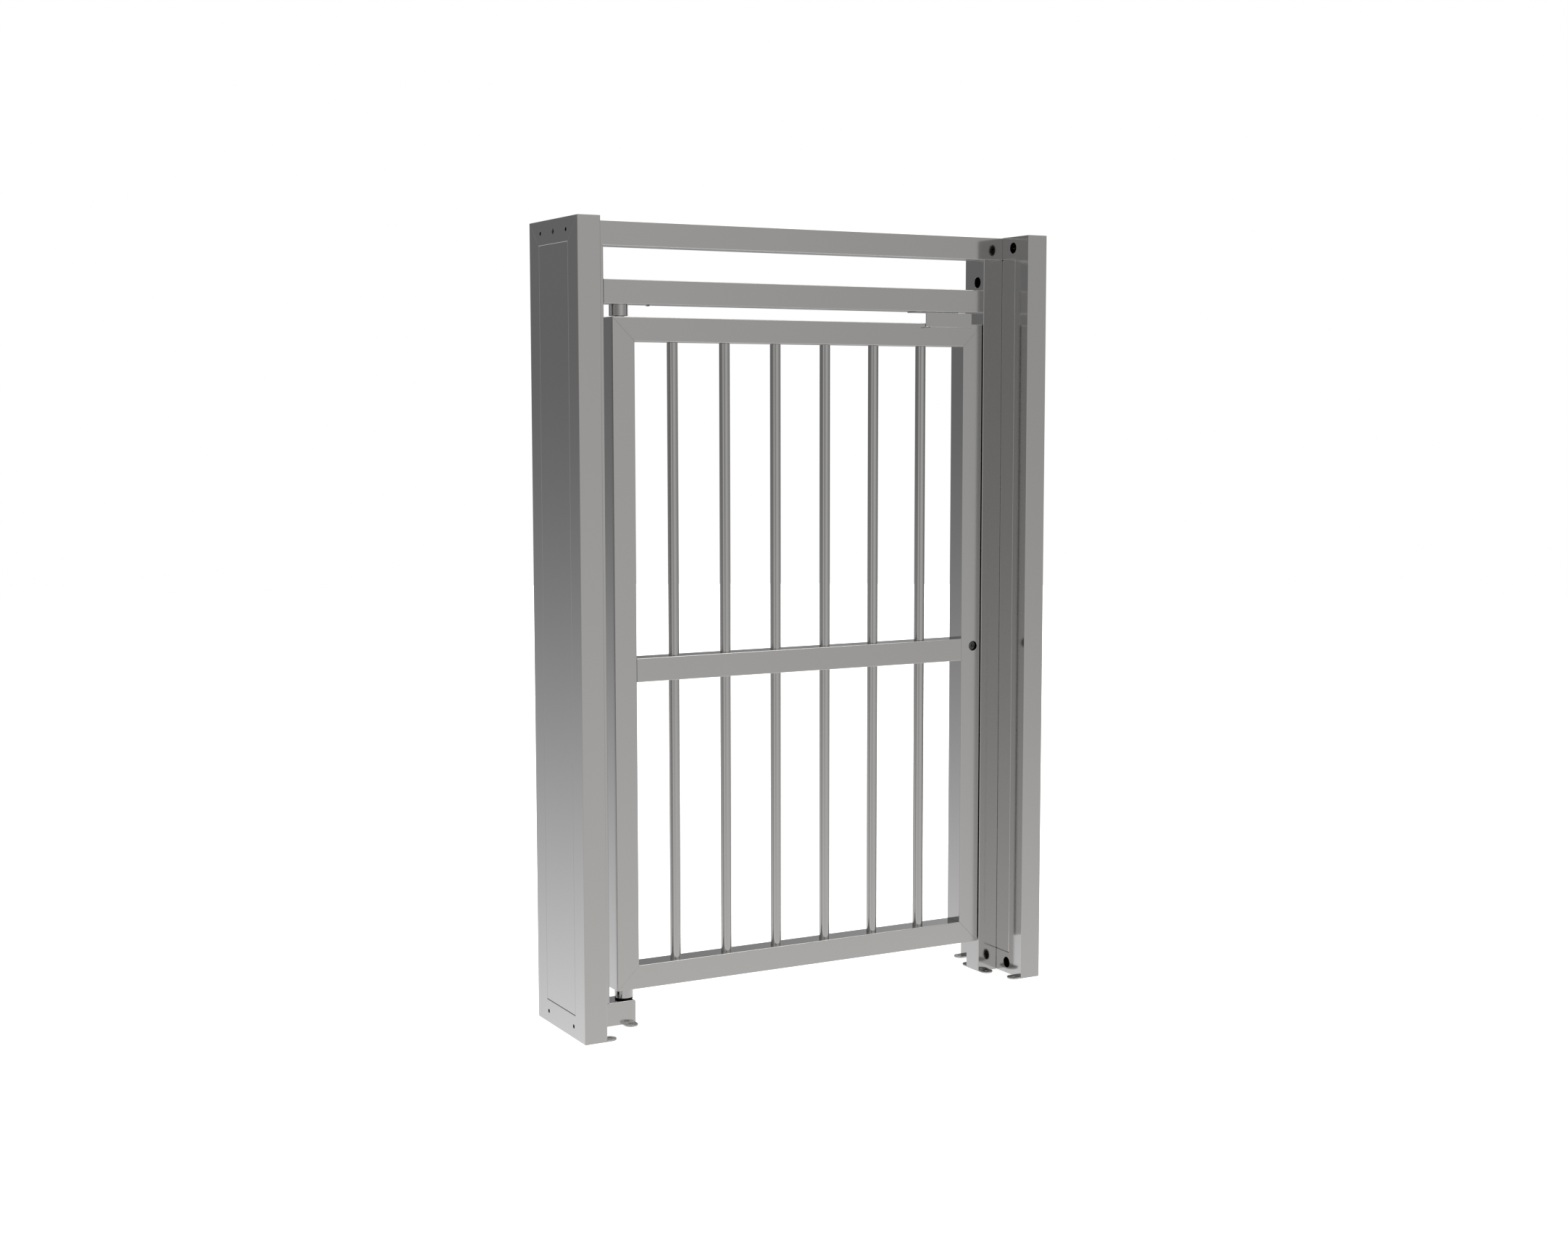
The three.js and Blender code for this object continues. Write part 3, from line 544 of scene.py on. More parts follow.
def tube_patches(half, wall, corner, inner_corner, chamfer, hole_chamfer, start, end, blocks=()):
    """A tube as one closed grid of rings: out along the outside, back along the inside.

    start and end are (place, slope, thickness of an end wall or 0, radius of the hole in that wall
    or 0). A block is a stretch of the tube whose walls are cut.
    """
    inner_half = (half[0] - wall, half[1] - wall)
    outside = rounded_rectangle(*half, corner)
    dressed = rounded_rectangle(half[0] - chamfer, half[1] - chamfer, corner - chamfer)
    inside = rounded_rectangle(*inner_half, inner_corner)
    share = np.linspace(0, 1, BLOCK_CELLS + 1)[:, None]
    stations, block_rows = [(start[0] + chamfer, start[1])], []
    for block in blocks:
        low, high = np.array(block["low"]), np.array(block["high"])
        block_rows.append(len(stations))
        stations += list(low + share * (high - low))
    stations.append((end[0] - chamfer, end[1]))
    inner_stations = [(start[0] + start[2], start[1]), *stations[1:-1], (end[0] - end[2], end[1])]

    outer_rows = [section_ring(outside, *station) for station in stations]
    inner_rows = [section_ring(inside, *station) for station in inner_stations]
    first, last = (section_ring(dressed, *stop[:2]) for stop in (start, end))

    def closure(stop, sign):
        """Rings of an end wall, from its outer face to its inner one."""
        place, _, plate, bore = stop
        rim = circle(outside, 0, bore)
        return [section_ring(rim, place), section_ring(rim, place + sign * plate)] if plate else []

    head, tail = closure(start, 1), closure(end, -1)
    sealed = bool(head) and not start[3]
    rows = [first] + outer_rows + [last] + tail + inner_rows[::-1]
    shift = 2 if sealed else 1
    if sealed:
        rows = [head[0]] + rows + [head[1]]
    else:
        rows += head[::-1]
    grid = np.stack(rows)
    left_out = np.zeros(grid.shape[:2], bool)
    inner_start = shift + len(outer_rows) + 1 + len(tail)
    patches = []
    for block, row in zip(blocks, block_rows):
        for cut in block["cuts"]:
            column = cut["side"] * (FLAT_CELLS + CORNER_CELLS) + 1
            columns = slice(column, column + FLAT_CELLS - 2)
            left_out[shift + row:shift + row + BLOCK_CELLS, columns] = True
            mirrored = inner_start + len(inner_rows) - 1 - row - BLOCK_CELLS
            left_out[mirrored:mirrored + BLOCK_CELLS, columns] = True
            span, width = slice(row, row + BLOCK_CELLS + 1), slice(column, column + FLAT_CELLS - 1)
            outer_block = np.stack(outer_rows)[span, width]
            inner_block = np.stack(inner_rows)[span, width]
            rings = wall_cut(outer_block, inner_block, half, inner_half, cut, hole_chamfer)
            patches.append((rings, False, True, None))
    return [(grid, not sealed, True, left_out)] + patches


def round_cut(side, radius, **place):
    """A round hole in one wall of a tube."""
    return {"side": side, "radius": radius, **place}


def square_cut(side, node, wide, long, room, **place):
    """A square opening in one wall, larger by some room than a CAD node; wide and long are axes."""
    low, high = box(node)
    size = high - low + room
    return {"side": side, "width": size[wide], "length": size[long], **place}


def cut_block(place, reach, cuts, slopes=(0, 0), wall_x=0.0):
    """A stretch of a tube from reach before to reach after a place on the wall at x = wall_x."""
    stretch = [math.sqrt(2) if slope and not wall_x else 1 for slope in slopes]
    low = (place - reach * stretch[0] - slopes[0] * wall_x, slopes[0])
    high = (place + reach * stretch[1] - slopes[1] * wall_x, slopes[1])
    return {"low": low, "high": high, "cuts": [{"place": place, "cross": 0.0, **cut} for cut in cuts]}


def tube_mesh(node, across, along, mitred=False, start_plate=(0, 0), end_plate=(0, 0), blocks=(), closed=0):
    """A square tube that fills a CAD node's box, its long side at local minus X if it is mitred.

    A closed mitre goes on by so much at each end, which leaves only a hairline between the tubes.
    """
    shape = bpy.context.scene.gate_shape
    low, high = box(node)
    origin, length, half = seat(node, along)
    slope = 1 if mitred else 0
    start = (half * slope - closed, slope, *start_plate)
    end = (length - half * slope + closed, -slope, *end_plate)
    chamfer = DRESSED_SEAM if closed else shape.end_chamfer
    patches = tube_patches((half, half), TUBE_WALL, shape.tube_corner, shape.tube_inner_corner,
                           chamfer, shape.hole_chamfer, start, end, blocks)
    mesh = make_mesh("finished_" + node, set_out(patches, origin, across, along))

    # Points behind the outer wall take the near black inside colour: painted shade inside the tube.
    def behind_wall(points):
        depth = np.minimum(points - low, high - points)
        return np.delete(depth, "XYZ".index(along[1]), axis=1).min(axis=1) > TUBE_WALL - HOLD_STRIP

    mark_painted_shade(mesh, behind_wall)
    return mesh


def solid_patches(half, length, corner, chamfer):
    """A bar of rounded rectangular section, closed by a pole at each end."""
    outside = rounded_rectangle(*half, corner)
    dressed = rounded_rectangle(half[0] - chamfer, half[1] - chamfer, corner - chamfer)
    rows = [(0 * outside, 0), (dressed, 0), (outside, chamfer),
            (outside, length - chamfer), (dressed, length), (0 * outside, length)]
    return [(np.stack([section_ring(*row) for row in rows]), False, True, None)]


def revolved(profile, centre, along="+Z", sides=ROUND_SIDES, closed=False, hexagon=()):
    """Radius and height turned about an axis: point = (r cos t, r sin t, h).

    The rows named in hexagon get r cos 30 / cos(t mod 60 - 30), in degrees, which makes them six
    sided with r at their corners.
    """
    profile = np.array(profile, float)
    turn = np.linspace(0, 2 * math.pi, sides, endpoint=False)
    radius = np.repeat(profile[:, :1], sides, axis=1)
    for row in hexagon:
        radius[row] /= np.cos(np.mod(turn, math.pi / 3) - math.pi / 6) / math.cos(math.pi / 6)
    height = np.repeat(profile[:, 1:], sides, axis=1)
    points = np.stack([radius * np.cos(turn), height, radius * np.sin(turn)], axis=2)
    across = {"Z": "+X", "X": "+Y", "Y": "+Z"}[along[1]]
    return set_out([(points, closed, True, None)], centre, across, along)


def rounded_edge(radius):
    """Inset and depth over a rounded edge: R (1 - cos a) and R (1 - sin a), from a = 0 to 90 degrees."""
    arc = np.linspace(0, math.pi / 2, ARC_CELLS + 1)
    return [(radius * (1 - math.cos(a)), radius * (1 - math.sin(a))) for a in arc]


def panel_mesh(node, outward, hole=None):
    """A sheet with four folded edges: rings go from the middle of the inner skin, up the folded
    return, over the bend, and in to the middle of the face or to a hole (y, z, radius) in it. Each
    ring is a rectangle with an inset and a depth, and over the bend these follow rounded_edge."""
    low, high = box(node)
    half_y, half_z = (high[1:] - low[1:]) / 2 + PANEL_SPREAD
    depth = high[0] - low[0]
    centre = middle(node)[1:]
    face = high[0] if outward > 0 else low[0]
    fold = bpy.context.scene.gate_shape.fold_radius

    def ring(inset, deep):
        corner = max(PANEL_CORNER - inset, PANEL_LEAST_CORNER)
        return rounded_rectangle(half_y - inset, half_z - inset, corner), deep

    def hub(deep):
        reach = rounded_rectangle(half_y, half_z, PANEL_CORNER)
        return (0 * reach, deep) if hole is None else (circle(reach, hole[:2] - centre, hole[2]), deep)

    rows = [hub(PANEL_SHEET), ring(PANEL_SHEET + PANEL_INNER_FOLD, PANEL_SHEET),
            ring(PANEL_SHEET, PANEL_SHEET + PANEL_INNER_FOLD), ring(PANEL_SHEET, depth),
            ring(PANEL_RIM, depth), ring(0, depth - PANEL_RIM)]
    rows += [ring(inset, deep) for inset, deep in rounded_edge(fold)]
    rows += [ring(fold + HOLD_STRIP, 0), hub(0)]
    points = np.stack([np.column_stack([np.full(len(flat), face - outward * deep), flat + centre])
                       for flat, deep in rows])
    return make_mesh("finished_" + node, [(points, hole is not None, True, None)])


def tab_mesh(node, outward):
    """A foot tab: its outline is two straight sides and a half circle, and rings run up its edge,
    over the rounded rim, across the top, down the anchor hole and back underneath. The hole's
    upper rim is marked as inside, where the finish paints it dark as painted shade."""
    origin, reach, half = seat(node, outward)
    low, high = box(node)
    origin[2] = low[2]
    thickness = high[2] - low[2]
    centre, edge = np.array([reach - half, 0]), bpy.context.scene.gate_shape.tab_edge

    def outline(inset):
        turn = np.linspace(-math.pi / 2, math.pi / 2, TAB_TIP_POINTS)
        r = half - inset
        tip = np.stack([centre[0] + r * np.cos(turn), r * np.sin(turn)], axis=1)
        root = np.stack([np.full(TAB_ROOT_POINTS, inset), np.linspace(r, -r, TAB_ROOT_POINTS)], axis=1)
        side = np.array([[centre[0] / 2, r]])
        return np.concatenate([tip, side, root, side * [1, -1]])

    def hole(grow):
        return circle(outline(0), centre, TAB_HOLE + grow)

    rows = [(outline(TAB_FOOT_EDGE), 0), (outline(0), TAB_FOOT_EDGE)]
    rows += [(outline(inset), thickness - deep) for inset, deep in rounded_edge(edge)]
    rows += [(outline(edge + HOLD_STRIP), thickness), (hole(TAB_HOLE_EDGE + HOLD_STRIP), thickness),
             (hole(TAB_HOLE_EDGE), thickness), (hole(0), thickness - TAB_HOLE_EDGE), (hole(0), 0)]
    flat = np.stack([np.column_stack([points, np.full(len(points), height)]) for points, height in rows])
    ahead = np.array(UNIT[outward], float)
    turned = flat @ np.array([ahead, np.cross([0, 0, 1], ahead), [0, 0, 1]])
    mesh = make_mesh("finished_" + node, [(origin + turned, True, True, None)])

    # The hole's upper rim takes the near black inside colour as painted shade.
    def upper_rim(points):
        reach_out = points - origin - centre[0] * ahead
        near = np.hypot(*reach_out[:, :2].T) < TAB_HOLE + HOLD_STRIP / 2
        return near & (reach_out[:, 2] > thickness / 2)

    mark_painted_shade(mesh, upper_rim)
    return mesh


def reckon(tree, operation, *terms):
    """A math node on numbers and on outputs of other nodes."""
    node = tree.nodes.new("ShaderNodeMath")
    node.operation = operation
    for socket, term in zip(node.inputs, terms):
        if isinstance(term, (int, float)):
            socket.default_value = term
        else:
            tree.links.new(term, socket)
    return node.outputs["Value"]


def blend(tree, share, first, second):
    """A mix of two colours, each given as numbers or as the output of another node."""
    node = tree.nodes.new("ShaderNodeMix")
    node.data_type = "RGBA"
    tree.links.new(share, node.inputs["Factor"])
    for socket, colour in zip((node.inputs[6], node.inputs[7]), (first, second)):
        if isinstance(colour, tuple):
            socket.default_value = colour
        else:
            tree.links.new(colour, socket)
    return node.outputs[2]


def noise(tree, coordinates, scale, detail):
    """A noise texture on object coordinates, stretched by a Mapping scale."""
    mapping = tree.nodes.new("ShaderNodeMapping")
    mapping.inputs["Scale"].default_value = scale
    tree.links.new(coordinates, mapping.inputs["Vector"])
    texture = tree.nodes.new("ShaderNodeTexNoise")
    texture.inputs["Scale"].default_value = 1
    texture.inputs["Detail"].default_value = detail
    texture.inputs["Roughness"].default_value = NOISE_ROUGHNESS
    tree.links.new(mapping.outputs["Vector"], texture.inputs["Vector"])
    return texture.outputs["Fac"]


def spread(tree, signal, value, share):
    """Maps a noise signal to a value, more or less by a share of it."""
    remap = tree.nodes.new("ShaderNodeMapRange")
    remap.inputs["From Min"].default_value, remap.inputs["From Max"].default_value = NOISE_RANGE
    remap.inputs["To Min"].default_value = value * (1 - share)
    remap.inputs["To Max"].default_value = value * (1 + share)
    tree.links.new(signal, remap.inputs["Value"])
    return remap.outputs["Result"]


def brushed(name, color, roughness, grain=None, metallic=1, lift=0.006, streak=0.004, depth=0.0000003,
            specular=0.5, inside=None):
    """Brushed metal. Fine streaks run along the grain axis, and a broad cloud shades the colour.

    Where a mesh marks its points as inside, the metal is dull and takes the inside colour, a near black
    painted shade.
    """
    if name in bpy.data.materials:
        return bpy.data.materials[name]
    material = bpy.data.materials.new(name)
    material.use_nodes = True
    tree = material.node_tree
    shader = tree.nodes["Principled BSDF"]
    shader.inputs["Metallic"].default_value = metallic
    shader.inputs["Specular IOR Level"].default_value = specular
    coordinates = tree.nodes.new("ShaderNodeTexCoord").outputs["Object"]
    scale = [STREAK_ALONG if axis == grain else STREAK_ACROSS for axis in "XYZ"]
    fine = noise(tree, coordinates, scale, STREAK_DETAIL)
    cloud = noise(tree, coordinates, CLOUD, CLOUD_DETAIL)
    shade = reckon(tree, "MULTIPLY", spread(tree, cloud, 1, lift), spread(tree, fine, 1, streak))
    tint = tree.nodes.new("ShaderNodeVectorMath")
    tint.operation = "SCALE"
    tint.inputs[0].default_value = color
    tree.links.new(shade, tint.inputs["Scale"])
    base, rough = tint.outputs["Vector"], spread(tree, fine, roughness, ROUGHNESS_SPREAD)
    if inside is not None:
        mark = tree.nodes.new("ShaderNodeAttribute")
        mark.attribute_name = "inside"
        base = blend(tree, mark.outputs["Fac"], base, (*inside, 1))
        rough = reckon(tree, "MULTIPLY_ADD", mark.outputs["Fac"], INSIDE_DULLNESS, rough)
    tree.links.new(base, shader.inputs["Base Color"])
    tree.links.new(rough, shader.inputs["Roughness"])
    bump = tree.nodes.new("ShaderNodeBump")
    bump.inputs["Strength"].default_value = BUMP_STRENGTH
    bump.inputs["Distance"].default_value = depth
    tree.links.new(fine, bump.inputs["Height"])
    tree.links.new(bump.outputs["Normal"], shader.inputs["Normal"])
    return material


def tube_finish(grain):
    """Brushed tube steel with its grain along one axis, and painted shade on its inside."""
    finish = bpy.context.scene.gate_finish
    return brushed("brushed_tube_" + grain.lower(), finish.tube_color, finish.tube_roughness, grain,
                   inside=finish.inside_shade_color)


def sheet_finish():
    """Brushed sheet steel, its grain upright."""
    finish = bpy.context.scene.gate_finish
    return brushed("brushed_sheet_upright", finish.sheet_color, finish.sheet_roughness, "Z")


def bar_finish():
    """Polished round steel, with a trace of the grinding round it."""
    finish = bpy.context.scene.gate_finish
    return brushed("polished_round_steel", finish.bar_color, finish.bar_roughness,
                   lift=0.012, streak=0.006, depth=0.000001)


def even_finish(name):
    """One of the finishes without a grain."""
    color, roughness, *texture = FINISHES[name]
    return brushed(name, getattr(bpy.context.scene.gate_finish, color), roughness, None, *texture)


class GATE_OT_side_frames(bpy.types.Operator):
    """Build the eight mitred tubes of the two side frames, with their bolt and access holes"""

    bl_idname = "gate.side_frames"
    bl_label = "Side frame tubes"

    def execute(self, context):
        closed = SEAM_SET_BACK - DRESSED_SEAM
        inset = CORNER_HOLE_INSET - SEAM_SET_BACK
        for side, along in (("left", "+Y"), ("right", "-Y")):
            for post, across in (("front", "+Y"), ("rear", "-Y")):
                add_tube(f"{side}_{post}_post", "frame", across, "+Z", mitred=True, closed=closed)
            for rail, across, outer in (("top", "-Z", 3), ("bottom", "+Z", 1)):
                node, inner = f"{side}_frame_{rail}_rail", 4 - outer
                length = seat(node, along)[1]
                pair = [round_cut(outer, CORNER_HOLE), round_cut(inner, ACCESS_HOLE)]
                blocks = [cut_block(inset, RAIL_STRETCH, pair, (1, 0))]
                if rail == "top":
                    through = [round_cut(outer, BEAM_HOLE), round_cut(inner, BEAM_SCREW_HOLE)]
                    blocks.append(cut_block(length / 2, BEAM_HOLE_STRETCH, through))
                blocks.append(cut_block(length - inset, RAIL_STRETCH, pair, (0, -1)))
                add_tube(node, "frame", across, along, mitred=True, blocks=blocks, closed=closed)
        return {"FINISHED"}


class GATE_OT_panels(bpy.types.Operator):
    """Build the four folded sheet panels of the side frames"""

    bl_idname = "gate.panels"
    bl_label = "Side panels"

    def execute(self, context):
        hole = (0.0, JAMB_SCREW_HEIGHT, JAMB_SCREW_HOLE)
        for side, sign in (("left", -1), ("right", 1)):
            for face, outward, opening in (("outer", sign, None), ("inner", -sign, hole)):
                node = f"{side}_{face}_panel"
                mesh = panel_mesh(node, outward, opening)
                add_piece(mesh, "frame", "brushed_sheet", sheet_finish(), node)
        return {"FINISHED"}


class GATE_OT_foot_tabs(bpy.types.Operator):
    """Build the eight foot tabs with their anchor holes"""

    bl_idname = "gate.foot_tabs"
    bl_label = "Foot tabs"

    def execute(self, context):
        tabs = {
            "left_front_foot_tab": "+X", "left_rear_foot_tab": "+X",
            "right_front_foot_tab": "-X", "right_rear_foot_tab": "-X",
            "right_jamb_front_tab": "-Y", "right_jamb_rear_tab": "+Y",
            "floor_block_front_tab": "-Y", "floor_block_rear_tab": "+Y",
        }
        for node, outward in tabs.items():
            add_piece(tab_mesh(node, outward), "frame", "brushed_tube", tube_finish(outward[1]), node)
        return {"FINISHED"}


class GATE_OT_jamb_posts(bpy.types.Operator):
    """Build the two jamb posts, with the screw and access holes and the window for the bolt"""

    bl_idname = "gate.jamb_posts"
    bl_label = "Jamb posts"

    def execute(self, context):
        window = square_cut(0, "lock_bolt", 1, 2, JAMB_WINDOW_ROOM)
        pair = [round_cut(2, JAMB_SCREW_HOLE), round_cut(0, ACCESS_HOLE)]
        for node, across, plate, cuts in (("left_jamb_post", "+X", 0, []),
                                          ("right_jamb_post", "-X", END_PLATE, [window])):
            foot = box(node)[0][2]
            blocks = [cut_block(middle("lock_bolt")[2] - foot, JAMB_WINDOW_STRETCH, [cut]) for cut in cuts]
            blocks.append(cut_block(JAMB_SCREW_HEIGHT - foot, RAIL_STRETCH, pair))
            add_tube(node, "frame", across, "+Z", start_plate=(plate, 0), blocks=blocks)
        return {"FINISHED"}


class GATE_OT_beams(bpy.types.Operator):
    """Build the top beam and the head beam with its magnet pocket"""

    bl_idname = "gate.beams"
    bl_label = "Beams"

    def execute(self, context):
        plate = (END_PLATE, BEAM_SCREW_HOLE)
        add_tube("top_beam", "frame", "-Z", "+X", start_plate=plate, end_plate=plate)
        start = box("head_beam")[0][0]
        dome, magnet = middle("head_beam_dome_screw")[0] - start, middle("lock_magnet")[0] - start
        pocket = square_cut(0, "lock_magnet", 1, 0, MAGNET_ROOM)
        blocks = [cut_block(dome, DOME_HOLE_STRETCH, [round_cut(0, JAMB_SCREW_HOLE)]),
                  cut_block(magnet, MAGNET_STRETCH, [pocket])]
        add_tube("head_beam", "frame", "-Z", "+X", blocks=blocks)
        return {"FINISHED"}


class GATE_OT_floor_block(bpy.types.Operator):
    """Build the hollow floor block that carries the bottom pivot"""

    bl_idname = "gate.floor_block"
    bl_label = "Floor block"

    def execute(self, context):
        """A tube whose far end is closed by rings that curl over.

        At angle a a ring lies block_end * sin a further out, its top is lower by
        block_end * (1 - cos a), and its sides come in by corner * (1 - cos a).
        """
        origin, length, half = seat("hinge_floor_block", "+X")
        curl = context.scene.gate_shape.block_end
        pin = middle("bottom_pivot_pin")[0] - origin[0]
        blocks = [cut_block(pin, BOTTOM_PIN_STRETCH, [round_cut(2, PIN_HOLE)])]
        patches = tube_patches((half, half), BLOCK_WALL, BLOCK_CORNER, BLOCK_INNER_CORNER, BLOCK_JOINT_EDGE,
                               BLOCK_HOLE_EDGE, (0, 0, 0, 0), (length - curl, 0, 0, 0), blocks)
        grid, _, _, left_out = patches[0]
        section = rounded_rectangle(half, half, BLOCK_CORNER)
        x, z = section[:, 0], section[:, 1]
        caps = []
        for angle in np.linspace(0, math.pi / 2, BLOCK_END_CELLS + 1)[1:]:
            lower = curl * (1 - math.cos(angle)) * np.clip((half - x) / (2 * half), 0, 1)
            squeeze = 1 - BLOCK_CORNER * (1 - math.cos(angle)) / half
            ring = np.stack([x + lower, z * squeeze], axis=1)
            caps.append(section_ring(ring, length - curl + curl * math.sin(angle)))
        inner_end = rounded_rectangle(half - BLOCK_WALL, half - BLOCK_WALL, BLOCK_INNER_CORNER)
        inner_end = section_ring(inner_end, length - BLOCK_WALL)
        # The outside's last ring; after it come the dressed ring and the ring at the inside's end
        last = BLOCK_CELLS + 3
        outer_part = [*grid[:last + 1], *caps, section_ring(0 * section, length)]
        inner_part = [section_ring(0 * section, length - BLOCK_WALL), inner_end, *grid[last + 3:]]
        whole = np.zeros((BLOCK_END_CELLS + 1, len(section)), bool)
        outer_mask = np.concatenate([left_out[:last + 1], whole])
        inner_mask = np.concatenate([whole[:2], left_out[last + 3:]])
        sheets = [(np.stack(outer_part), False, True, outer_mask),
                  (np.stack(inner_part), False, True, inner_mask),
                  (np.stack([inner_part[-1], outer_part[0]]), False, True, None), *patches[1:]]
        mesh = make_mesh("finished_hinge_floor_block", set_out(sheets, origin, "-Z", "+X"))
        add_piece(mesh, "frame", "brushed_tube", tube_finish("X"), "hinge_floor_block")
        return {"FINISHED"}


class GATE_OT_leaf_tubes(bpy.types.Operator):
    """Build the leaf's stiles and rails, with the lock hole, the bolt window and the pin hole"""

    bl_idname = "gate.leaf_tubes"
    bl_label = "Leaf tubes"

    def execute(self, context):
        foot, centre = box("lock_stile")[0][2], middle("lock_stile")
        lock = middle("lock_cylinder")
        cuts = [round_cut(3, LOCK_HOLE, cross=centre[0] - lock[0]),
                square_cut(2, "lock_bolt", 1, 2, STILE_WINDOW_ROOM, place=middle("lock_bolt")[2] - foot)]
        stile = [cut_block(lock[2] - foot, LOCK_STRETCH, cuts)]
        low, high = box("leaf_top_rail")
        pin, under_side = middle("top_pivot_pin")[0] - low[0], (low[2] - high[2]) / 2
        rail = [cut_block(pin, TOP_PIN_STRETCH, [round_cut(2, PIN_HOLE)], (1, 1), under_side)]
        add_tube("hinge_stile", "leaf", "+X", "+Z", mitred=True)
        add_tube("lock_stile", "leaf", "-X", "+Z", mitred=True, blocks=stile)
        add_tube("leaf_top_rail", "leaf", "-Z", "+X", mitred=True, blocks=rail)
        add_tube("leaf_bottom_rail", "leaf", "+Z", "+X", mitred=True)
        add_tube("leaf_mid_rail", "leaf", "-Z", "+X")
        return {"FINISHED"}


class GATE_OT_leaf_bars(bpy.types.Operator):
    """Build the twelve round bars of the leaf"""

    bl_idname = "gate.leaf_bars"
    bl_label = "Leaf bars"

    def execute(self, context):
        for node in [f"{row}_bar_{i}" for row in ("upper", "lower") for i in range(1, 7)]:
            _, length, radius = seat(node, "+Z")
            inner, face = radius - BAR_WALL, radius - BAR_EDGE
            profile = [(inner, 0), (face, 0), (radius, BAR_EDGE),
                       (radius, length - BAR_EDGE), (face, length), (inner, length)]
            add_turned(node, "leaf", "polished_steel", bar_finish(), profile, closed=True)
        return {"FINISHED"}


class GATE_OT_pivots(bpy.types.Operator):
    """Build the turned pivot housing and collar and the moulded thrust washer"""

    bl_idname = "gate.pivots"
    bl_label = "Pivots"

    def execute(self, context):
        edge = context.scene.gate_shape.pivot_chamfer
        for node, body in (("top_pivot_housing", "frame"), ("bottom_pivot_collar", "leaf")):
            _, length, radius = seat(node, "+Z")
            end = length - PIVOT_END_WALL
            profile = [(0, end), (PIVOT_BORE, end), (PIVOT_BORE, edge), (PIVOT_BORE + edge, 0),
                       (radius - edge, 0), (radius, edge), (radius, length - edge), (radius - edge, length),
                       (0, length)]
            add_turned(node, body, "polished_steel", bar_finish(), profile, sides=PIVOT_SIDES)
        _, length, radius = seat("thrust_washer", "+Z")
        arc = np.linspace(0, math.pi / 2, ARC_CELLS)
        rim = [(radius - edge * (1 - math.sin(a)), edge * (1 - math.cos(a))) for a in arc]
        rim += [(radius - edge * (1 - math.cos(a)), length - edge * (1 - math.sin(a))) for a in arc]
        profile = [(PIN_HOLE, 0), *rim, (PIN_HOLE, length)]
        add_turned("thrust_washer", "frame", "black_plastic", even_finish("black_moulded_plastic"), profile,
                   sides=PIVOT_SIDES, closed=True)
        return {"FINISHED"}


class GATE_OT_keeper(bpy.types.Operator):
    """Build the keeper bracket on the leaf and the magnet in the head beam"""

    bl_idname = "gate.keeper"
    bl_label = "Keeper and magnet"

    def execute(self, context):
        """The bracket is an L outline (y, z), round at the bend, carried along x."""
        low, high = box("keeper_bracket")
        outer = context.scene.gate_shape.bend_radius
        inner = outer - BRACKET_SHEET
        turn = np.linspace(0, math.pi / 2, BRACKET_POINTS)
        bend = np.stack([np.sin(turn), -np.cos(turn)], axis=1)
        front, back, foot, top = low[1], high[1], low[2], high[2]
        heel = [back - outer, foot + outer] + outer * bend
        crook = [back - outer, foot + outer] + inner * bend[::-1]
        outline = np.concatenate([[[front, foot]], heel, [[back, top], [back - BRACKET_SHEET, top]],
                                  crook, [[front, foot + BRACKET_SHEET]]])

        def at(x, flat):
            return np.concatenate([np.full((*flat.shape[:-1], 1), x), flat], axis=-1)

        skin = np.stack([at(x, outline) for x in np.linspace(low[0], high[0], BRACKET_POINTS)])
        half = len(outline) // 2
        strip = np.stack([outline[:half], outline[half:][::-1]])
        ends = [(at(x, strip), False, False, None) for x in (low[0], high[0])]
        mesh = make_mesh("finished_keeper_bracket", [(skin, False, True, None), *ends])
        soften(add_piece(mesh, "leaf", "brushed_sheet", sheet_finish(), "keeper_bracket"), BRACKET_EDGE)

        origin, length, _ = seat("lock_magnet", "+X")
        low, high = box("lock_magnet")
        size = (high - low) / 2
        patches = solid_patches((size[2], size[1]), length, MAGNET_CORNER, MAGNET_EDGE)
        mesh = make_mesh("finished_lock_magnet", set_out(patches, origin, "-Z", "+X"))
        add_piece(mesh, "frame", "plain_steel", even_finish("machined_steel"), "lock_magnet")
        return {"FINISHED"}


class GATE_OT_lock(bpy.types.Operator):
    """Build the lock's cylinder, key plug and bolt"""

    bl_idname = "gate.lock"
    bl_label = "Lock"

    def execute(self, context):
        _, length, radius = seat("lock_cylinder", "+Y")
        dark, plain = even_finish("darkened_lock_steel"), even_finish("machined_steel")
        profile = [(PLUG_HOLE, PLUG_HOLE_EDGE), (PLUG_HOLE + PLUG_HOLE_EDGE, 0), (radius - CYLINDER_EDGE, 0),
                   (radius, CYLINDER_EDGE), (radius, length), (PLUG_HOLE, length)]
        add_turned("lock_cylinder", "leaf", "dark_steel", dark, profile, "+Y", closed=True)
        soften(add_piece(merged_copy("key_plug"), "key", "dark_steel", dark, "key_plug"), PLUG_EDGE)
        soften(add_piece(merged_copy("lock_bolt"), "bolt", "plain_steel", plain, "lock_bolt"), BOLT_EDGE)
        return {"FINISHED"}


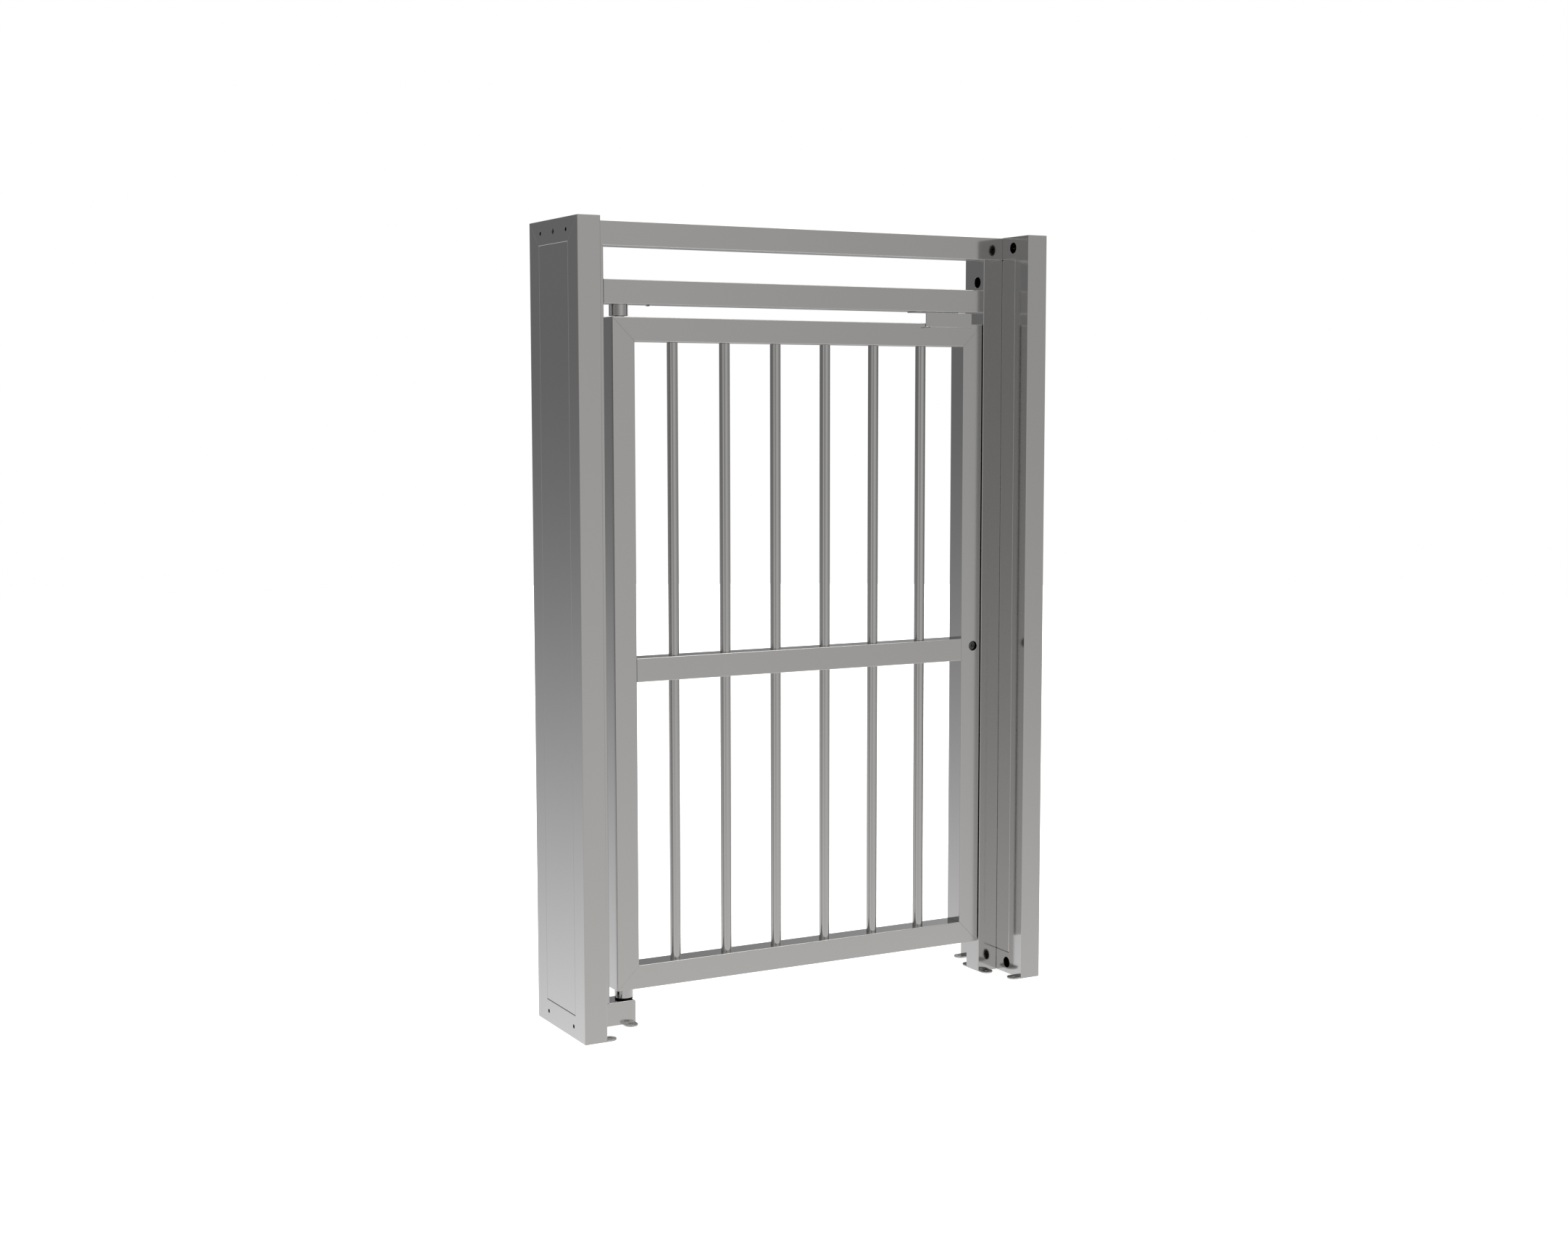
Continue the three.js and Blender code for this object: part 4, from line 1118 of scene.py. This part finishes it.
class GATE_OT_screws(bpy.types.Operator):
    """Build the socket screws in the frames and the domed screw under the head beam"""

    bl_idname = "gate.screws"
    bl_label = "Screws"

    def execute(self, context):
        # The screws are painted dark as shade inside the tubes.
        dark = even_finish("screw_steel_painted_dark")
        for side, kind in (("left", "beam"), ("left", "jamb"), ("right", "beam"), ("right", "jamb")):
            node, inward = f"{side}_{kind}_screw", "+X" if (side == "left") == (kind == "beam") else "-X"
            length = seat(node, inward)[1]
            thread, head, rise, socket, sink, shoulder = SCREWS[kind]
            profile = [(0, sink), (socket, sink), (socket, SOCKET_EDGE[1]), (socket + SOCKET_EDGE[0], 0),
                       (head - HEAD_EDGE, 0), (head, HEAD_EDGE), (head, rise), *shoulder,
                       (thread, shoulder[-1][1] if shoulder else rise), (thread, length - SCREW_TIP),
                       (thread - SCREW_TIP, length), (0, length)]
            add_turned(node, "frame", "dark_steel", dark, profile, inward, sides=SCREW_SIDES, hexagon=(1, 2))

        _, length, radius = seat("head_beam_dome_screw", "+Z")
        rise, shank, mouth, socket, sink, rim = DOME
        ball = (radius ** 2 + rise ** 2) / (2 * rise)
        lean = np.linspace(math.asin(mouth / ball), math.asin(radius / ball), DOME_POINTS)
        dome = [(ball * math.sin(a), ball * (1 - math.cos(a))) for a in lean]
        profile = [(0, sink), (socket, sink), (socket, dome[0][1] + rim), *dome,
                   (shank, rise), (shank, length), (0, length)]
        add_turned("head_beam_dome_screw", "frame", "plain_steel", even_finish("machined_steel"), profile,
                   sides=SCREW_SIDES, hexagon=(1, 2))
        return {"FINISHED"}


class GATE_OT_hidden_parts(bpy.types.Operator):
    """Finish the CAD parts that stay as they are inside the pivots and the lock"""

    bl_idname = "gate.hidden_parts"
    bl_label = "Hidden parts"

    def execute(self, context):
        finishes = {
            "satin_brass": ("top_pivot_bush", "bottom_pivot_bush"),
            "machined_steel": ("top_pivot_pin", "bottom_pivot_pin", "lock_case"),
        }
        for finish, nodes in finishes.items():
            for node in nodes:
                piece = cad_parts[node]
                piece.data.materials.clear()
                piece.data.materials.append(even_finish(finish))
        return {"FINISHED"}


class GATE_OT_stage(bpy.types.Operator):
    """Build the pale floor, the soft studio light and the camera"""

    bl_idname = "gate.stage"
    bl_label = "Stage"

    def execute(self, context):
        stage, scene = context.scene.gate_stage, context.scene
        turn = np.linspace(0, 2 * math.pi, FLOOR_SIDES, endpoint=False)
        radius = np.array([0, 0.5, 1.0])[:, None] * stage.floor_radius
        height = 0 * radius * turn - FLOOR_DROP
        points = np.stack([radius * np.cos(turn), radius * np.sin(turn), height], axis=2)
        mesh = make_mesh("studio_floor", [(points, False, True, None)])
        if mesh.polygons[0].normal.z < 0:
            mesh.flip_normals()
        floor = bpy.data.objects.new("studio_floor", mesh)
        scene.collection.objects.link(floor)
        floor.visible_glossy = False
        roughness, *texture = FLOOR_FINISH
        material = brushed("pale_floor", stage.floor_color, roughness, None, *texture)
        shader = material.node_tree.nodes["Principled BSDF"]
        shader.inputs["Emission Color"].default_value = (1, 1, 1, 1)
        shader.inputs["Emission Strength"].default_value = stage.floor_glow
        mesh.materials.append(material)

        lamp = bpy.data.lights.new("soft_overhead", "SUN")
        lamp.energy = stage.lamp_strength
        lamp.angle = stage.lamp_spread
        scene.collection.objects.link(bpy.data.objects.new("soft_overhead", lamp))
        self.paint_studio(scene, stage)

        lens = bpy.data.cameras.new("photograph_view")
        lens.sensor_width = SENSOR_WIDTH
        lens.lens = stage.camera_lens
        camera = bpy.data.objects.new("photograph_view", lens)
        scene.collection.objects.link(camera)
        yaw, pitch = stage.camera_yaw, stage.camera_pitch
        ahead = Vector((math.sin(yaw) * math.cos(pitch), math.cos(yaw) * math.cos(pitch), math.sin(pitch)))
        turned = ahead.to_track_quat("-Z", "Y").to_matrix().to_4x4()
        roll = Matrix.Rotation(stage.camera_roll, 4, "Z")
        camera.matrix_world = Matrix.Translation(stage.camera_place) @ turned @ roll
        scene.camera = camera
        scene.view_settings.view_transform = "Standard"
        return {"FINISHED"}

    def paint_studio(self, scene, stage):
        """Light by direction (x, y, z) with bearing b. Above the horizon it is the walls,

        level + sum of gain * exp(focus * (cos(b - bearing) - 1)),

        and below it they change to the ground, mean + rise * sin b, by ((start - z) / depth) ** 2, or
        by GROUND_MOST where that is less. The rim and back lights each add
        gain * exp(focus * (cosine of the angle to their direction - 1)). Camera rays and diffuse
        rays find plain white.
        """
        scene.world = bpy.data.worlds.new("soft_studio")
        scene.world.use_nodes = True
        tree = scene.world.node_tree
        background = tree.nodes["Background"]
        coordinates = tree.nodes.new("ShaderNodeTexCoord")
        split = tree.nodes.new("ShaderNodeSeparateXYZ")
        tree.links.new(coordinates.outputs["Generated"], split.inputs["Vector"])
        x, y, z = split.outputs

        def with_lobe(light, parts, aim, gain, focus):
            """The light with gain * exp(focus * (parts . aim - 1)) added."""
            along = reckon(tree, "MULTIPLY", parts[0], focus * aim[0])
            for part, share in zip(parts[1:], aim[1:]):
                along = reckon(tree, "MULTIPLY_ADD", part, focus * share, along)
            lobe = reckon(tree, "EXPONENT", reckon(tree, "SUBTRACT", along, focus))
            return reckon(tree, "MULTIPLY_ADD", lobe, gain, light)

        square = reckon(tree, "ADD", reckon(tree, "MULTIPLY", x, x), reckon(tree, "MULTIPLY", y, y))
        flat = reckon(tree, "MAXIMUM", reckon(tree, "SQRT", square), LEAST_RUN)
        cosine, sine = reckon(tree, "DIVIDE", x, flat), reckon(tree, "DIVIDE", y, flat)
        walls = stage.studio_level
        for bearing, gain, focus in (stage.front_light, stage.left_light, stage.right_light):
            turn = math.radians(bearing)
            walls = with_lobe(walls, (cosine, sine), (math.cos(turn), math.sin(turn)), gain, focus)
        ground = reckon(tree, "MULTIPLY_ADD", sine, stage.ground_rise, stage.ground_level)
        below = reckon(tree, "MAXIMUM", reckon(tree, "SUBTRACT", stage.ground_start, z), 0.0)
        depth = reckon(tree, "DIVIDE", below, stage.ground_depth)
        change = reckon(tree, "MINIMUM", reckon(tree, "POWER", depth, 2.0), GROUND_MOST)
        light = reckon(tree, "MULTIPLY_ADD", reckon(tree, "SUBTRACT", ground, walls), change, walls)
        for bearing, height, gain, focus in (stage.rim_light, stage.back_light):
            turn, rise = math.radians(bearing), math.radians(height)
            aim = (math.sin(rise), math.cos(rise) * math.cos(turn), math.cos(rise) * math.sin(turn))
            light = with_lobe(light, (z, x, y), aim, gain, focus)
        path = tree.nodes.new("ShaderNodeLightPath")
        plain = reckon(tree, "MAXIMUM", path.outputs["Is Camera Ray"], path.outputs["Is Diffuse Ray"])
        tree.links.new(reckon(tree, "MAXIMUM", plain, light), background.inputs["Strength"])
        tint = blend(tree, reckon(tree, "MAXIMUM", sine, 0.0), (*stage.front_tint, 1), (*stage.back_tint, 1))
        tree.links.new(blend(tree, plain, tint, (1, 1, 1, 1)), background.inputs["Color"])


STEPS = (
    GATE_OT_side_frames, GATE_OT_panels, GATE_OT_foot_tabs, GATE_OT_jamb_posts, GATE_OT_beams,
    GATE_OT_floor_block, GATE_OT_leaf_tubes, GATE_OT_leaf_bars, GATE_OT_pivots, GATE_OT_keeper,
    GATE_OT_lock, GATE_OT_screws, GATE_OT_hidden_parts, GATE_OT_stage,
)


class GATE_PT_panel(bpy.types.Panel):
    """Lists the steps that build the gate, and its sizes and finishes"""

    bl_idname = "GATE_PT_panel"
    bl_label = "Pass gate"
    bl_space_type = "VIEW_3D"
    bl_region_type = "UI"
    bl_category = "Gate"

    def draw(self, context):
        layout = self.layout
        for step in STEPS:
            layout.operator(step.bl_idname)
        for group in (context.scene.gate_shape, context.scene.gate_finish, context.scene.gate_stage):
            column = layout.column(align=True)
            for name in group.bl_rna.properties.keys():
                if name not in ("rna_type", "name"):
                    column.prop(group, name)


GROUPS = {"gate_shape": GateShape, "gate_finish": GateFinish, "gate_stage": GateStage}


def register():
    """Registers the property groups, the steps and the panel."""
    for name, group in GROUPS.items():
        bpy.utils.register_class(group)
        setattr(bpy.types.Scene, name, PointerProperty(type=group))
    for step in STEPS + (GATE_PT_panel,):
        bpy.utils.register_class(step)


def unregister():
    """Takes the panel, the steps and the property groups away again."""
    for step in reversed(STEPS + (GATE_PT_panel,)):
        bpy.utils.unregister_class(step)
    for name, group in reversed(GROUPS.items()):
        delattr(bpy.types.Scene, name)
        bpy.utils.unregister_class(group)


def main():
    """Builds every piece and the stage."""
    register()
    for step in STEPS:
        category, name = step.bl_idname.split(".")
        getattr(getattr(bpy.ops, category), name)()


if __name__ == "__main__":
    main()
